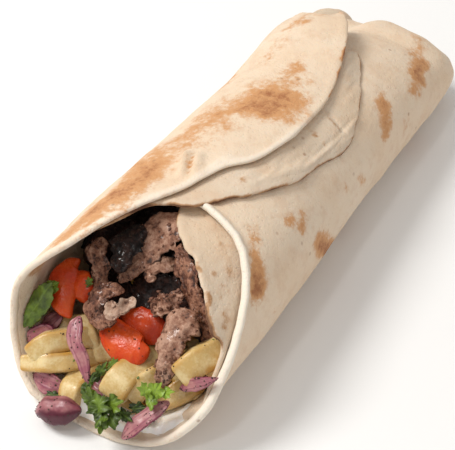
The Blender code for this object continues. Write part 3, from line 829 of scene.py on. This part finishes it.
# path rows: across, up, out, width, thickness, twist in degrees
meatSlices = {
    "meatTop": dict(node="meat_top", look=meatMid, path=(
        (1.5, 75, 1, 12, 2.4, 10), (-2.6, 67.5, 2, 14, 2.4, 5), (-5.6, 60, 3.5, 11.5, 2.4, -5),
        (-8, 52, 4, 8, 2.4, -10), (-9.6, 45.5, 4, 4.6, 2.2, -10)), cup=0.05, wave=0.4, ragged=0.12),
    "meatChar": dict(node="meat_char", look=meatBurnt, path=(
        (-9.5, 66, 5, 9, 2.6, -14), (-11.2, 60, 8, 10, 3, -12), (-10.8, 54, 9, 9, 3, -8),
        (-9.4, 48.5, 9, 6, 2.6, 0)), cup=-0.05, wave=0.5, ragged=0.3),
    "meatLeft": dict(node="meat_left", look=meatMid, path=(
        (-21.8, 57, 6, 6, 2.4, -20), (-19.6, 51, 6.5, 7.5, 2.8, -10), (-16.3, 46, 5.5, 5.5, 2.6, 10),
        (-15.2, 40, 5, 6, 2.6, 25), (-16, 34.5, 4.5, 4, 2.2, 30)), cup=0.1, wave=0.6, ragged=0.22),
    "meatCurl": dict(node="meat_curl", look=meatRed, path=(
        (-5, 44.2, 8, 4, 2.4, 20), (-8.2, 42.8, 10, 5.4, 2.8, 15), (-11.4, 39.6, 11, 6.6, 3.2, 20),
        (-11.2, 35.6, 11, 7, 3.4, 20), (-7.5, 33.2, 11, 6.4, 3.2, 10), (-2.4, 34.2, 11, 5.4, 3, 0)),
        cup=0.12, wave=0.9, ragged=0.26),
    "meatFold": dict(node=None, look=meatPale, path=(
        (-6, 39.6, 13.2, 3.2, 1.8, -20), (-3.8, 37.2, 14, 5.4, 2.2, -5), (-1.2, 38.4, 14.4, 5.8, 2.2, 10),
        (0.6, 41.4, 14, 4.4, 2, 25), (1.2, 43.8, 13, 2.4, 1.6, 35)), cup=0.25, wave=1.1, ragged=0.5),
    "meatRight": dict(node="meat_right", look=meatRed, path=(
        (4.5, 64.5, 3.5, 6.5, 2.6, 25), (9, 59.5, 4.3, 8.5, 3, 25), (15, 54, 4.3, 8.5, 3.2, 30),
        (20, 49, 4, 8, 3, 30), (24.5, 44.5, 3, 5, 2.4, 30)), cup=0.1, wave=0.7, ragged=0.26),
    "meatSmall": dict(node="meat_small", look=meatMid, path=(
        (4, 42.8, 4, 4.5, 2.4, 0), (7.5, 44.6, 5.5, 7, 3, 10), (10.8, 47, 6, 6.5, 2.8, 20),
        (12.5, 51, 5.5, 3.2, 2.2, 30)), cup=0.14, wave=0.9, ragged=0.34),
    "meatLow": dict(node="meat_low", look=meatMid, path=(
        (19.5, 47, 6.5, 9, 3, 0), (18.6, 43.5, 8.5, 12, 3.6, 5), (17.2, 38, 9.4, 10, 3.8, 8),
        (17.7, 32.5, 9.6, 9, 4, 5), (19, 27, 9.4, 8.2, 3.8, 0), (20.8, 21, 8.8, 6, 3.2, -8)),
        cup=-0.08, wave=0.7, ragged=0.2),
    # meatBack is drawn near-black, painted shade deep in the mouth
    "meatBack": dict(node=None, look=paintedShadeMeat, path=(
        (4.5, 62, -3.5, 8, 2.6, -10), (0, 58.5, -2.5, 10, 2.8, 0), (-3.2, 54.5, -1, 7, 2.6, 10),
        (-3.4, 50.5, 0.5, 4, 2.4, 10)), cup=0.1, wave=0.5, ragged=0.2),
    "meatHook": dict(node=None, look=meatMid, path=(
        (4, 60, -2, 6, 2.2, 0), (2, 57, 0.6, 6, 2.2, 0), (-0.8, 54.4, 2.4, 4, 2, 0),
        (-2.4, 52.2, 3.2, 2.8, 1.9, 0), (-0.6, 50.8, 3.4, 2.6, 1.8, 0), (1.2, 51.8, 2.6, 2, 1.6, 0)),
        cup=0.1, wave=0.4, ragged=0.25),
    "meatEdge": dict(node=None, look=meatRed, path=(
        (22, 47.5, 1, 5, 2.4, 10), (24.5, 44, 1.5, 7, 2.6, 20), (26, 40, 1, 6, 2.6, 20),
        (27, 36.5, 0.5, 4, 2.4, 20)), cup=0.1, wave=0.6, ragged=0.25),
}
# near-black sheets of painted shade behind the others, in gaps that show only shade: across, up, out and
# width of each row, and the twists
shades = {
    "A": (((13, 50, -3, 7), (17, 46, -2, 9), (22, 42, -2, 9), (25, 38, -3, 6)), (0, 0, 10, 10)),
    "B": (((-26, 50, -4, 7), (-20, 47, -3, 9), (-12, 44, -3, 9), (-5, 42, -4, 6)), (0, 0, 10, 10)),
    "C": (((-8, 48, -2.5, 10), (-1, 47.5, -1.5, 15), (7, 47, -1.5, 15), (15, 45, -3, 9)),
          (0, 0, 5, 10)),
    "D": (((-16, 66, -2, 7), (-19, 60, -1, 10), (-23.5, 53.5, -1, 10), (-27, 47, -2, 8)),
          (0, 0, 10, 10)),
    "E": (((-23, 41, -2, 8), (-18, 37.5, -0.5, 10), (-12, 36, -0.5, 10), (-6, 36, -2, 7)),
          (0, 0, 0, 0)),
}
for letter, (rows, twists) in shades.items():
    meatSlices["meatShade" + letter] = dict(
        node=None, look=paintedShadeMeat, cup=0.1, wave=0.7, ragged=0.25,
        path=[(*row, 3, twist) for row, twist in zip(rows, twists)])
calm = {"meatTop": 0.5, "meatFold": 1.3}   # share of the lumps and fibres, where it isn't 1
for number, (name, piece) in enumerate(meatSlices.items()):
    share = calm.get(name, 1)
    sweepPiece(name, piece["look"], "meat_char" if name == "meatChar" else "meat", piece,
               {"sear": searRule}, rings=110, around=56, lumps=0.42 * share, lumpSize=3.0,
               fibre=0.34 * share, blunt=4, waveCount=1.7, seed=100 + number * 13,
               cup=piece["cup"], wave=piece["wave"], ragged=piece["ragged"])
print("meat made")


def wedgeShape(around):
    # tomato wedge section: round skin side up, two flesh sides that meet in a blunt edge below
    v = 2 * math.pi * np.arange(around) / around
    y = np.sin(v)
    return np.cos(v) * (1 - 0.35 * np.clip(-y, 0, 1) ** 1.5), y * np.where(y > 0, 0.8, 1.05)


tomatoWedges = {
    "tomatoLeft": dict(node="tomato_left", path=(
        (-26.2, 47.4, 4, 4.2, 3.6, 0), (-27.8, 44, 5, 7.8, 5.2, -10), (-27.8, 39.2, 6, 10, 6, -15),
        (-25.6, 34, 6.5, 9.4, 5.8, -15), (-22.6, 30.4, 6.5, 7, 5.2, -10),
        (-20, 28.6, 6, 4.6, 4, 0))),
    "tomatoMiddle": dict(node="tomato_middle", path=(
        (-10, 34.6, 4.5, 4, 4, 0), (-7, 32, 5.5, 8, 5.4, -8), (-2, 29.2, 6, 11, 6, -12),
        (3, 28, 6.5, 12.5, 6, -10), (7.4, 28.4, 6.5, 11.5, 5.8, -4), (10.4, 30, 6, 7, 4.6, 0))),
    "tomatoLeftCore": dict(node=None, path=(
        (-26, 42.5, 3, 6, 3.6, 0), (-22.8, 40.8, 4.6, 8.4, 4.6, 0), (-20, 38, 4.8, 8, 4.4, 0),
        (-18.2, 35, 3.6, 5, 3, 0))),
    "tomatoMiddleCore": dict(node=None, path=(
        (-6, 37, 0.5, 8, 3, 0), (0, 35.6, 2, 11, 3.8, 0), (7, 36, 2.5, 11, 3.8, 0),
        (13, 36.5, 1, 8, 3, 0))),
    "tomatoBit": dict(node=None, path=(
        (-16.6, 34.8, 6, 2.5, 2, 0), (-14.8, 33.4, 7, 3.4, 2.6, 0), (-12.8, 32, 6.5, 2.4, 2, 0))),
}
for number, (name, piece) in enumerate(tomatoWedges.items()):
    sweepPiece(name, tomato, "tomato", piece,
               {"core": deepRule if name == "tomatoMiddleCore" else coreRule},
               rings=90, around=48, lumps=0.5 if name.endswith("Core") else 0.22, lumpSize=5,
               blunt=3.2, shape=wedgeShape, seed=300 + number * 7)
print("tomato made")

# fries: blunt sticks whose far ends run back into the heap
frySticks = (
    ((-27.5, 12, 8.5, 7, 6.5, 20), (-22.5, 19, 7.5, 7.5, 7, 20), (-15, 24.5, 2, 7.5, 7, 20),
     (-6, 30, -12, 7.5, 7, 20)),
    ((-29.5, 8.4, 8, 5.6, 5, 0), (-19.5, 12.6, 7.5, 6.4, 5.6, 0), (-11, 18, 1, 6.4, 5.6, 0),
     (-4, 22, -12, 6.4, 5.6, 0)),
    ((-8.6, 2.6, 5.5, 7, 6, -10), (-9.6, 8.5, 4.5, 8, 7, -10), (-9, 15, -1, 8, 7, -10),
     (-7, 20, -14, 8, 7, -10)),
    ((4.6, 10.5, 7.5, 9.5, 8.5, 12), (6, 18.5, 6.5, 10, 9, 12), (8, 26, -1, 10, 9, 12),
     (11, 32, -16, 10, 9, 12)),
    ((9.5, 12.8, 4.5, 7, 6.5, 30), (12.4, 20, 4, 7.6, 7, 30), (16, 27, -2, 7.6, 7, 30),
     (20, 33, -14, 7.6, 7, 30)),
    ((23, 26, 6.5, 9, 8, 25), (27.2, 33.5, 5.5, 9.4, 8.6, 25), (31, 41, -1, 9, 8, 25),
     (32, 48, -14, 8, 7, 25)),
    ((31, 29.5, 2.5, 6, 6, 10), (32, 36, 1, 6.5, 6.5, 10), (31, 43, -6, 6.5, 6.5, 10)),
    ((-31, 20.5, 0, 6, 6, 0), (-24, 25, -1, 7, 6.5, 0), (-16, 29, -6, 7, 6.5, 0)),
    ((-17.5, 31.5, 2, 6, 6, 0), (-13.5, 25.5, 1, 7, 6.5, 0), (-9, 19, -5, 7, 6.5, 0)),
    ((-13.5, 17.5, -2, 7, 7, 0), (-6, 24, -2, 8, 7, 0), (1, 30, -5, 8, 7, 0)),
    ((-22, 26, -4, 8, 7, 0), (-12, 20, -5, 8, 7, 0), (0, 16, -6, 8, 7, 0)),
    ((-3, 10, -4, 7, 7, 0), (3, 17, -4, 8, 7, 0), (9, 25, -6, 8, 7, 0)),
    ((14, 13, -2, 7, 7, 0), (21, 19, -2, 8, 7, 0), (27, 27, -4, 8, 7, 0)),
    ((16, 30, -3, 7, 7, 0), (22, 26, -3, 8, 7, 0), (29, 24, -5, 8, 7, 0)),
    ((-28, 14, -2, 7, 7, 0), (-20, 10, -3, 8, 7, 0), (-10, 8, -5, 8, 7, 0)),
    ((-20, 3.5, -4, 7, 6, 0), (-10, 4.5, -4, 7, 6, 0), (2, 6, -5, 7, 6, 0)),
    ((3, 7, -5, 7, 6, 0), (12, 9, -5, 7, 6, 0), (22, 13, -6, 7, 6, 0)),
)
sticks = [sweep(path, rings=60, around=40, power=6, blunt=26, thin=0.3, lumps=0.22, lumpSize=4,
                seed=500 + number * 11) for number, path in enumerate(frySticks)]
skins.update(("fry%d" % number, stick[0]) for number, stick in enumerate(sticks))
points, faces = joinTubes([stick[0] for stick in sticks])
crust = np.concatenate([tubeValues(crustRule(*stick[:3])) for stick in sticks])
makePiece("fryHeap", points, faces, fries, "fries_heap", {"crust": crust})
print("fries made")

onionStrips = {
    "onionLong": dict(node="onion_long", look=onionPale, path=(
        (-14.6, 31, 11.5, 4.4, 2, 0), (-14.2, 28, 12.3, 6.4, 2.4, 5), (-12.2, 23.5, 13, 6, 2.4, 8),
        (-7.5, 18.8, 12.3, 5, 2.2, 5), (-2.6, 11.6, 10.5, 2.6, 1.8, 0)), cup=0.1),
    "onionSkin": dict(node="onion_skin", look=onionDark, path=(
        (-17, -3.8, 8.6, 6, 3, 0), (-12.5, -1, 10.4, 9.6, 4, 0), (-7.5, 1, 10.8, 9.4, 4, 0),
        (-2, 3.4, 9.6, 5, 3, 0)), cup=-0.16),
    "onionRight": dict(node="onion_right", look=onionPale, path=(
        (25, 22.6, 6, 2.6, 1.8, 0), (29, 25.6, 8, 4.6, 2.2, 10), (33.2, 28.2, 10.4, 3.6, 2, 15),
        (38, 31.6, 12.8, 1.6, 1.4, 15)), cup=0.12),
    "onionBottom": dict(node="onion_bottom", look=onionPale, path=(
        (14.2, 0.8, 8.6, 4.6, 2.2, -12), (17.4, 6.4, 9.6, 5.8, 2.6, -12),
        (20.6, 12, 9.2, 5.6, 2.6, -12), (24, 17.8, 7.6, 4.6, 2.2, -12)), cup=0.14),
    "onionLeft": dict(node="onion_left", look=onionPale, path=(
        (-31, 14, 6, 4.6, 2, 15), (-28.6, 18, 7, 7, 2.6, 15), (-25.6, 21.4, 6.4, 5.4, 2.4, 15),
        (-23.4, 21, 5, 3, 2, 15)), cup=0.16),
    "onionLow": dict(node="onion_low", look=onionPale, path=(
        (-26.6, 8.2, 5.2, 3.4, 1.8, 0), (-22.5, 6.6, 6.2, 6, 2.2, 8), (-17.5, 6.4, 6.6, 7.4, 2.4, 8),
        (-12.4, 7.6, 6, 4.6, 2, 8)), cup=0.14),
    "onionBack": dict(node=None, look=onionDark, path=(
        (-30, 19, 2, 4, 2, 0), (-27.6, 23.6, 3, 6, 2.4, 0), (-25, 28.6, 3, 5, 2.2, 0)), cup=0.12),
    "onionTiny": dict(node=None, look=onionPale, path=(
        (-29.4, 9.6, 6, 3, 1.8, 0), (-27.4, 12.6, 6.4, 3.8, 2, 0), (-25.6, 14.4, 5, 2.6, 1.8, 0)),
        cup=0.12),
    "onionHidden": dict(node=None, look=onionPale, path=(
        (-5.6, 12.6, 1.6, 3.4, 2, 0), (-2.6, 11.8, 2.6, 4.8, 2.2, 0), (1, 11, 1.6, 3.6, 2, 0)),
        cup=0.12),
}
for number, (name, piece) in enumerate(onionStrips.items()):
    cutSlice = name == "onionSkin"
    sweepPiece(name, piece["look"], "onion_skin" if cutSlice else "onion", piece,
               {"dye": cutRule if cutSlice else dyeRule, "vein": veinRule},
               rings=80, around=40, lumps=0.16, lumpSize=3, blunt=3, ragged=0.06, wave=0.25,
               seed=700 + number * 9, cup=piece["cup"],
               gap=None if name in ("onionSkin", "onionRight") else 0.45)
print("onion made")


# parsley: middle (across, up, out), heading from straight up, tilt outwards, bank, length, width,
# lobes, tone from dark to bright, which paints each leaf's light and shade
parsleyLeaves = (
    ((-30.2, 28.6, 12.2), 20, 14, -8, 17.5, 9.6, 0.05, 0.45),
    ((-32.4, 22.4, 10.5), -20, 20, 0, 6, 4, 0.2, 0.1),
    ((-28.6, 35.2, 11.4), 34, 10, -20, 8, 4.4, 0.12, 0.55),
    ((-2.6, 13.4, 11.4), 12, 10, 10, 7, 3.4, 0.3, 0.35),
    ((-0.8, 17.2, 11), 22, 16, -20, 7.5, 3.8, 0.32, 0.4),
    ((1.6, 21, 10), 34, 8, 15, 6, 2.8, 0.3, 0.45),
    ((-2, 10.4, 12), -30, 14, 10, 5.5, 3.6, 0.3, 0.3),
    ((-1.2, 8.8, 12.6), -60, 16, 10, 5.6, 4.2, 0.26, 0.35),
    ((1.4, 8.4, 13), -25, 24, -15, 8, 6.2, 0.26, 0.4),
    ((4.6, 8, 13.2), 20, 20, 12, 8.5, 6.6, 0.3, 0.45),
    ((8, 10, 12.6), 55, 22, -10, 8.5, 6, 0.3, 0.5),
    ((4, 6.6, 12.6), -140, 20, 15, 6, 5, 0.26, 0.3),
    ((6.4, 5, 13), 165, 26, -12, 7.6, 6, 0.26, 0.35),
    ((9.6, 5.4, 12), 120, 18, 14, 8, 6, 0.3, 0.3),
    ((7.4, 3, 11.6), 165, 10, 0, 6, 4.6, 0.3, 0.45),
    ((12.6, 8, 10), 100, 12, 10, 6, 4.4, 0.28, 0.15),
    ((17.2, 18, 12.4), -35, 20, 10, 6.8, 4.6, 0.26, 0.85),
    ((20.2, 19.4, 12.8), 15, 24, -12, 7.6, 5.4, 0.26, 1),
    ((23.2, 20.2, 12.4), 62, 16, 12, 6.8, 4.4, 0.26, 0.95),
    ((19.8, 16.2, 12), 150, 18, 0, 6, 4.4, 0.26, 0.7),
    ((-18.6, 41.8, 7), 30, 10, 0, 4, 2.6, 0.25, 0.5),
    ((14.4, 11.4, 6.5), 60, 10, 0, 7, 4, 0.3, 0.1),
    ((-14.5, 3.6, 7.5), 70, 10, 0, 5, 3, 0.3, 0.2),
)


def leafSkin(middle, heading, tilt, bank, length, width, lobes, number, rings=15, around=88):
    # a polar grid whose outline is one plus cosines for the leaf's lobes and teeth, cupped by the
    # square of the radius and rippled towards the edge, with Gaussian creases along its veins; it
    # runs over the top to the edge and back below a quarter of a millimetre lower
    v = 2 * math.pi * np.arange(around) / around
    phase = number * 1.7
    outline = (1 + 0.5 * lobes * np.cos(5 * v) + 0.3 * lobes * np.cos(8 * v + phase)
               + 0.04 * np.cos(15 * v + phase)) * (0.94 + 0.12 * np.cos(2 * v + phase))
    outward = np.linspace(0.02, 1, rings) ** 0.9
    r = np.concatenate([outward, outward[-2::-1]])[:, None]
    side = np.concatenate([np.ones(rings), -np.ones(rings - 1)])[:, None]
    x = width / 2 * r * np.sin(v) * outline
    y = length / 2 * r * np.cos(v) * outline
    size = min(length, width)
    z = 0.10 * size * r ** 2 * np.cos(2 * v + phase)
    z = z + 0.12 * size * (lobes > 0.1) * r ** 3 * np.sin(7 * v + phase)
    z = z + 0.05 * size * cellNoise(stack3(x, y, phase), 2.2, number)
    sideVein = np.abs(x) - 0.55 * (y + length / 3)
    vein = np.minimum(np.exp(-(x / 0.22) ** 2) + 0.8 * np.exp(-(sideVein / 0.2) ** 2), 1)
    z = z - 0.12 * vein + 0.12 * side * (1 - r ** 4)
    tip, lean, turn = np.radians((heading, tilt, bank))
    ahead = mouthPoint(math.sin(tip) * math.cos(lean), math.cos(tip) * math.cos(lean), math.sin(lean))
    across = mouthPoint(math.cos(tip), -math.sin(tip), 0)
    up = np.cross(across, ahead)
    across, up = (across * math.cos(turn) + up * math.sin(turn),
                  up * math.cos(turn) - across * math.sin(turn))
    points = mouthPoint(*middle) + x[..., None] * across + y[..., None] * ahead + z[..., None] * up
    return insideWall(points, 0.3), vein


def parsleyMaterial():
    # leaf green from dark to bright by tone, which paints each leaf's light and shade, paler veins, a thin
    # wet shine
    s = Shade("parsleyLeaf", Subsurface_Weight=0.05, Subsurface_Scale=0.001,
              Subsurface_Radius=(0.6, 1.0, 0.2))
    tone = s.value("tone")
    vein = s.value("vein")
    soft = s.noise(260, 4, 0.6)
    fine = s.noise(1200, 3, 0.6)
    bright = (tone + (soft - 0.5) * 1.1).between(0.1, 1.0)
    colour = s.mix(bright, (0.016, 0.034, 0.004), (0.23, 0.35, 0.025))
    colour = s.mix(vein * 0.3, colour, (0.24, 0.36, 0.06))
    return s.feed(Base_Color=colour, Roughness=0.3 + fine * 0.24,
                  Normal=s.bump(fine * 0.5 + soft, 0.0005, 0.5))


parsley = parsleyMaterial()
leaves = [leafSkin(*leaf[:7], number) for number, leaf in enumerate(parsleyLeaves)]
points, faces = joinTubes([grid for grid, vein in leaves])
veins = [tubeValues(vein) for grid, vein in leaves]
leafLightAndShade = [np.full(len(vein), leaf[7]) for vein, leaf in zip(veins, parsleyLeaves)]
makePiece("parsley", points, faces, parsley, None,
          {"tone": np.concatenate(leafLightAndShade), "vein": np.concatenate(veins)})
print("parsley made")

sauce = {
    "angles": (-44, 62), "fadeIn": 10, "fadeOut": 12,      # degrees round the underside
    "margin": 0.9, "reach": 32, "lip": 3, "tail": 8,       # mm in from the inner ply's edge
    "columns": 150, "rows": 90,
    "bed": 1.5, "level": 0.2,                              # depths below the crumb's face
    "pool": 4.6, "poolAt": (-13, 4), "poolSize": (13, 6), "smear": 0.9,
}


def sauceMaterial():
    # white sauce, a little creamier in patches, wet
    s = Shade("garlicSauce", Coat_Weight=0.4, Coat_Roughness=0.06, Subsurface_Weight=0.2,
              Subsurface_Scale=0.0015, Subsurface_Radius=(1.0, 0.8, 0.6))
    soft = s.noise(300, 3, 0.5)
    colour = s.mix(soft.between(0.4, 0.7), (0.97, 0.95, 0.91), (0.93, 0.86, 0.78))
    return s.feed(Base_Color=colour, Roughness=0.16 + soft * 0.2, Normal=s.bump(soft, 0.0006, 0.5))


def saucePiece():
    # two skins over a patch of the inner bread that meet at its border. The lower one lies in the
    # crumb; the upper one rises by a Gaussian pool and a patchy smear, less a level it must pass
    first, last = sauce["angles"]
    reach, bed, level = sauce["reach"], sauce["bed"], sauce["level"]
    angle = np.linspace(first, last, sauce["columns"])[:, None]
    inward = np.linspace(0, reach, sauce["rows"])[None, :]
    along = follow(angle, *zip(*innerFront)) + sauce["margin"] + inward
    noise = layeredNoise(stack3(angle * 0.55, along, 0), 6, 4, 91)
    around = ease(angle, first, first + sauce["fadeIn"]) * (1 - ease(angle, last - sauce["fadeOut"], last))
    deep = ease(inward, 0, sauce["lip"]) * (1 - ease(inward, reach - sauce["tail"], reach))
    border = np.minimum(around, deep)
    a = (angle - sauce["poolAt"][0]) / sauce["poolSize"][0]
    w = (inward - sauce["poolAt"][1]) / sauce["poolSize"][1]
    pool = sauce["pool"] * np.exp(-a * a - w * w) * (0.75 + 0.45 * noise)
    height = (pool + sauce["smear"] * np.clip(noise + 0.6, 0, 1)) * border
    face = innerFace(angle, along)
    top = rollPoint(angle, along, face - height + level + (bed - level) * (1 - border))
    bottom = rollPoint(angle, along, face + bed)
    points, faces = twoSkins(top, bottom)
    makePiece("whiteSauce", points, faces, sauceMaterial())


saucePiece()
print("sauce made")


def strew(name, hosts, material, count, size, flat, seed, lowest=0.3):
    # grains on random points of the hosts' faces that look out of the mouth: each a small ball of
    # 6 by 7 points, stretched and shaken by random factors and flattened along its face's normal
    random = np.random.default_rng(seed)
    facing = mouthPoint(0, 0, 1)
    spots, aims = [], []
    for host in hosts:
        grid = skins[host][6:-6]
        aim = grid - grid.mean(1, keepdims=True)
        aim = aim / (np.linalg.norm(aim, axis=-1, keepdims=True) + 1e-9)
        shown = (aim @ facing > lowest) & (grid @ facing > 0)
        spots.append(grid[shown])
        aims.append(aim[shown])
    spots, aims = np.concatenate(spots), np.concatenate(aims)
    pick = random.choice(len(spots), count, replace=False)
    u, v = np.linspace(0, math.pi, 6)[:, None], 2 * math.pi * np.arange(7)[None, :] / 7
    ball, (quads, tris) = closedTube(stack3(np.sin(u) * np.cos(v), np.sin(u) * np.sin(v), np.cos(u)))
    grown = size / 2 * random.uniform(0.45, 1.3, (count, 1, 1))
    grown = grown * random.uniform(0.6, 1.5, (count, 1, 3))
    grains = ball * grown * random.uniform(0.75, 1.25, (count, len(ball), 1))
    aim = aims[pick][:, None]
    grains = grains - aim * (grains * aim).sum(-1, keepdims=True) * (1 - flat)
    points = (spots[pick][:, None] + aim * size * flat * 0.25 + grains).reshape(-1, 3)
    shift = (np.arange(count) * len(ball))[:, None, None]
    faces = [(quads + shift).reshape(-1, 4), (tris + shift).reshape(-1, 3)]
    makePiece(name, points, faces, material, None,
              {key: np.full(len(points), 0.5) for key in ("sear", "relief", "tone", "vein")})


def pepperMaterial():
    # dark grains, some browner
    s = Shade("groundPepper", Roughness=0.7)
    soft = s.noise(900, 2, 0.5)
    return s.feed(Base_Color=s.mix(soft.between(0.35, 0.65), (0.012, 0.008, 0.006),
                                   (0.09, 0.05, 0.03)))


pepper = pepperMaterial()
fryNames = ["fry%d" % number for number in range(8)]
onionNames = ["onionLong", "onionSkin", "onionLow", "onionLeft", "onionTiny", "onionBottom",
              "onionRight"]
meatNames = ["meatTop", "meatLeft", "meatCurl", "meatRight", "meatSmall", "meatLow"]
strew("pepperOnOnion", onionNames, pepper, count=230, size=0.5, flat=0.5, seed=5)
strew("pepperOnFries", fryNames + ["tomatoMiddle"], pepper,
      count=70, size=0.5, flat=0.5, seed=6)
strew("herbFlecks", ["onionLow", "onionLeft"] + fryNames, parsley,
      count=22, size=0.7, flat=0.3, seed=7)
strew("meatCrumbs", meatNames, meatRed, count=260, size=1.1, flat=0.6, seed=8, lowest=0.1)
strew("paleCrumbs", meatNames, meatMid, count=90, size=0.9, flat=0.6, seed=9, lowest=0.1)
print("pepper, flecks and crumbs strewn")

core = {"arc": 90, "chord": 46, "rings": 70, "frontRings": 40, "gap": 0.6, "end": 201,
        "measuredAt": 40.0}   # where along the roll the section's heights are taken


def corePiece(name, material, node, first, last, depth, rough, values):
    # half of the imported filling: sections inside the bread from the mouth's plane to the closed
    # end, closed by a chord, with a rough front drawn in rings to its middle
    lean = math.radians(roll["mouthLean"])
    angles = np.linspace(first, last, core["arc"])
    turned = np.where(angles < -180, angles + 360, angles)

    def arc(along):
        return rollPoint(angles, along, innerFace(turned, along) - core["gap"])

    start = arc(np.full(core["arc"], core["measuredAt"]))[:, 2] / math.tan(lean) + depth / math.sin(lean)
    steps = np.linspace(0, 1, core["rings"]) ** 1.3
    arcs = arc(start[None, :] + (core["end"] - start[None, :]) * steps[:, None])
    share = np.linspace(0, 1, core["chord"] + 2)[None, 1:-1, None]
    chord = arcs[:, -1:] + (arcs[:, :1] - arcs[:, -1:]) * share
    grid = np.concatenate([arcs, chord], 1)
    middle = grid[0].mean(0)
    shrink = np.linspace(0.02, 1, core["frontRings"])[:-1, None, None]
    front = middle + (grid[0] - middle) * shrink
    relief = rough * layeredNoise(front, 7, 4, 77) * (1 - shrink[..., 0] ** 8)
    front = front + mouthPoint(0, 0, 1) * relief[..., None]
    points, faces = closedTube(np.concatenate([front, grid]))
    makePiece(name, points, faces, material, node,
              {key: np.full(len(points), value) for key, value in values.items()})


# the meat core is near-black, painted shade deep in the mouth; the potato core has the darker fried-skin
# colour all over, painted shade in the gaps between the fries
corePiece("meatCore", paintedShadeMeat, "meat_packed", first=-269.3, last=-90.7,
          depth=7.0, rough=2.4, values={"sear": 0.6, "relief": 0.4})
corePiece("potatoCore", fries, None, first=-89.3, last=89.3,
          depth=17.0, rough=2.0, values={"crust": 1.0})
print("packed filling made")


# ---- stage ----

stage = {
    "floorSize": 4.0, "floorDrop": 0.0001,
    "sky": 0.54, "skyColour": (1.0, 0.975, 0.945, 1),
    "lights": (   # name, place, aim, size, power, colour
        ("windowLight", (-0.66, -0.30, 1.02), (0, -0.02, 0.02), 0.5, 11.0, (1.0, 0.985, 0.955)),
        ("smallLight", (-0.05, -0.45, 0.85), (0, -0.08, 0.03), 0.1, 0.7, (1.0, 0.99, 0.97))),
}


def makeFloor():
    # flat square whose height never changes, a little under the sandwich's lowest point
    half = stage["floorSize"] / 2
    u, v = np.meshgrid(np.linspace(-half, half, 5), np.linspace(-half, half, 5), indexing="ij")
    points = stack3(u, v, -stage["floorDrop"]).reshape(-1, 3)
    mesh = bpy.data.meshes.new("paleFloor")
    mesh.from_pydata(points.tolist(), [], gridQuads(5, 5)[:, ::-1].tolist())
    s = Shade("palePaper", Roughness=0.9)
    tone = s.noise(6, 2, 0.5).between(0.2, 0.8)
    mesh.materials.append(s.feed(Base_Color=s.mix(tone, (0.90, 0.90, 0.90), (0.91, 0.91, 0.91))))
    floor = bpy.data.objects.new("paleFloor", mesh)
    bpy.context.scene.collection.objects.link(floor)


def makeLight(name, place, aim, size, power, colour):
    lamp = bpy.data.lights.new(name, "AREA")
    lamp.shape = "DISK"
    lamp.size = size
    lamp.energy = power
    lamp.color = colour
    holder = bpy.data.objects.new(name, lamp)
    holder.location = place
    holder.rotation_euler = (Vector(aim) - Vector(place)).to_track_quat("-Z", "Y").to_euler()
    bpy.context.scene.collection.objects.link(holder)


makeFloor()
sky = bpy.data.worlds.new("softStudio")
sky.use_nodes = True
sky.node_tree.nodes["Background"].inputs["Color"].default_value = stage["skyColour"]
sky.node_tree.nodes["Background"].inputs["Strength"].default_value = stage["sky"]
bpy.context.scene.world = sky
for light in stage["lights"]:
    makeLight(*light)
bpy.context.scene.view_settings.view_transform = "Standard"

# camera: 31 degrees round to the right of the mouth, 44 above the table
view = {"azimuth": 31, "elevation": 44, "distance": 0.55, "lens": 126,
        "target": (3.0, 79.0, 26.4)}
azimuth, elevation = math.radians(view["azimuth"]), math.radians(view["elevation"])
back = Vector((math.sin(azimuth) * math.cos(elevation), -math.cos(azimuth) * math.cos(elevation),
               math.sin(elevation)))
target = Vector(toModel(np.array(view["target"])).tolist())
lensBody = bpy.data.cameras.new("camera")
lensBody.lens = view["lens"]
lensBody.sensor_width = 36
camera = bpy.data.objects.new("camera", lensBody)
camera.location = target + back * view["distance"]
camera.rotation_euler = (-back).to_track_quat("-Z", "Y").to_euler()
bpy.context.scene.collection.objects.link(camera)
bpy.context.scene.camera = camera
print("stage set")
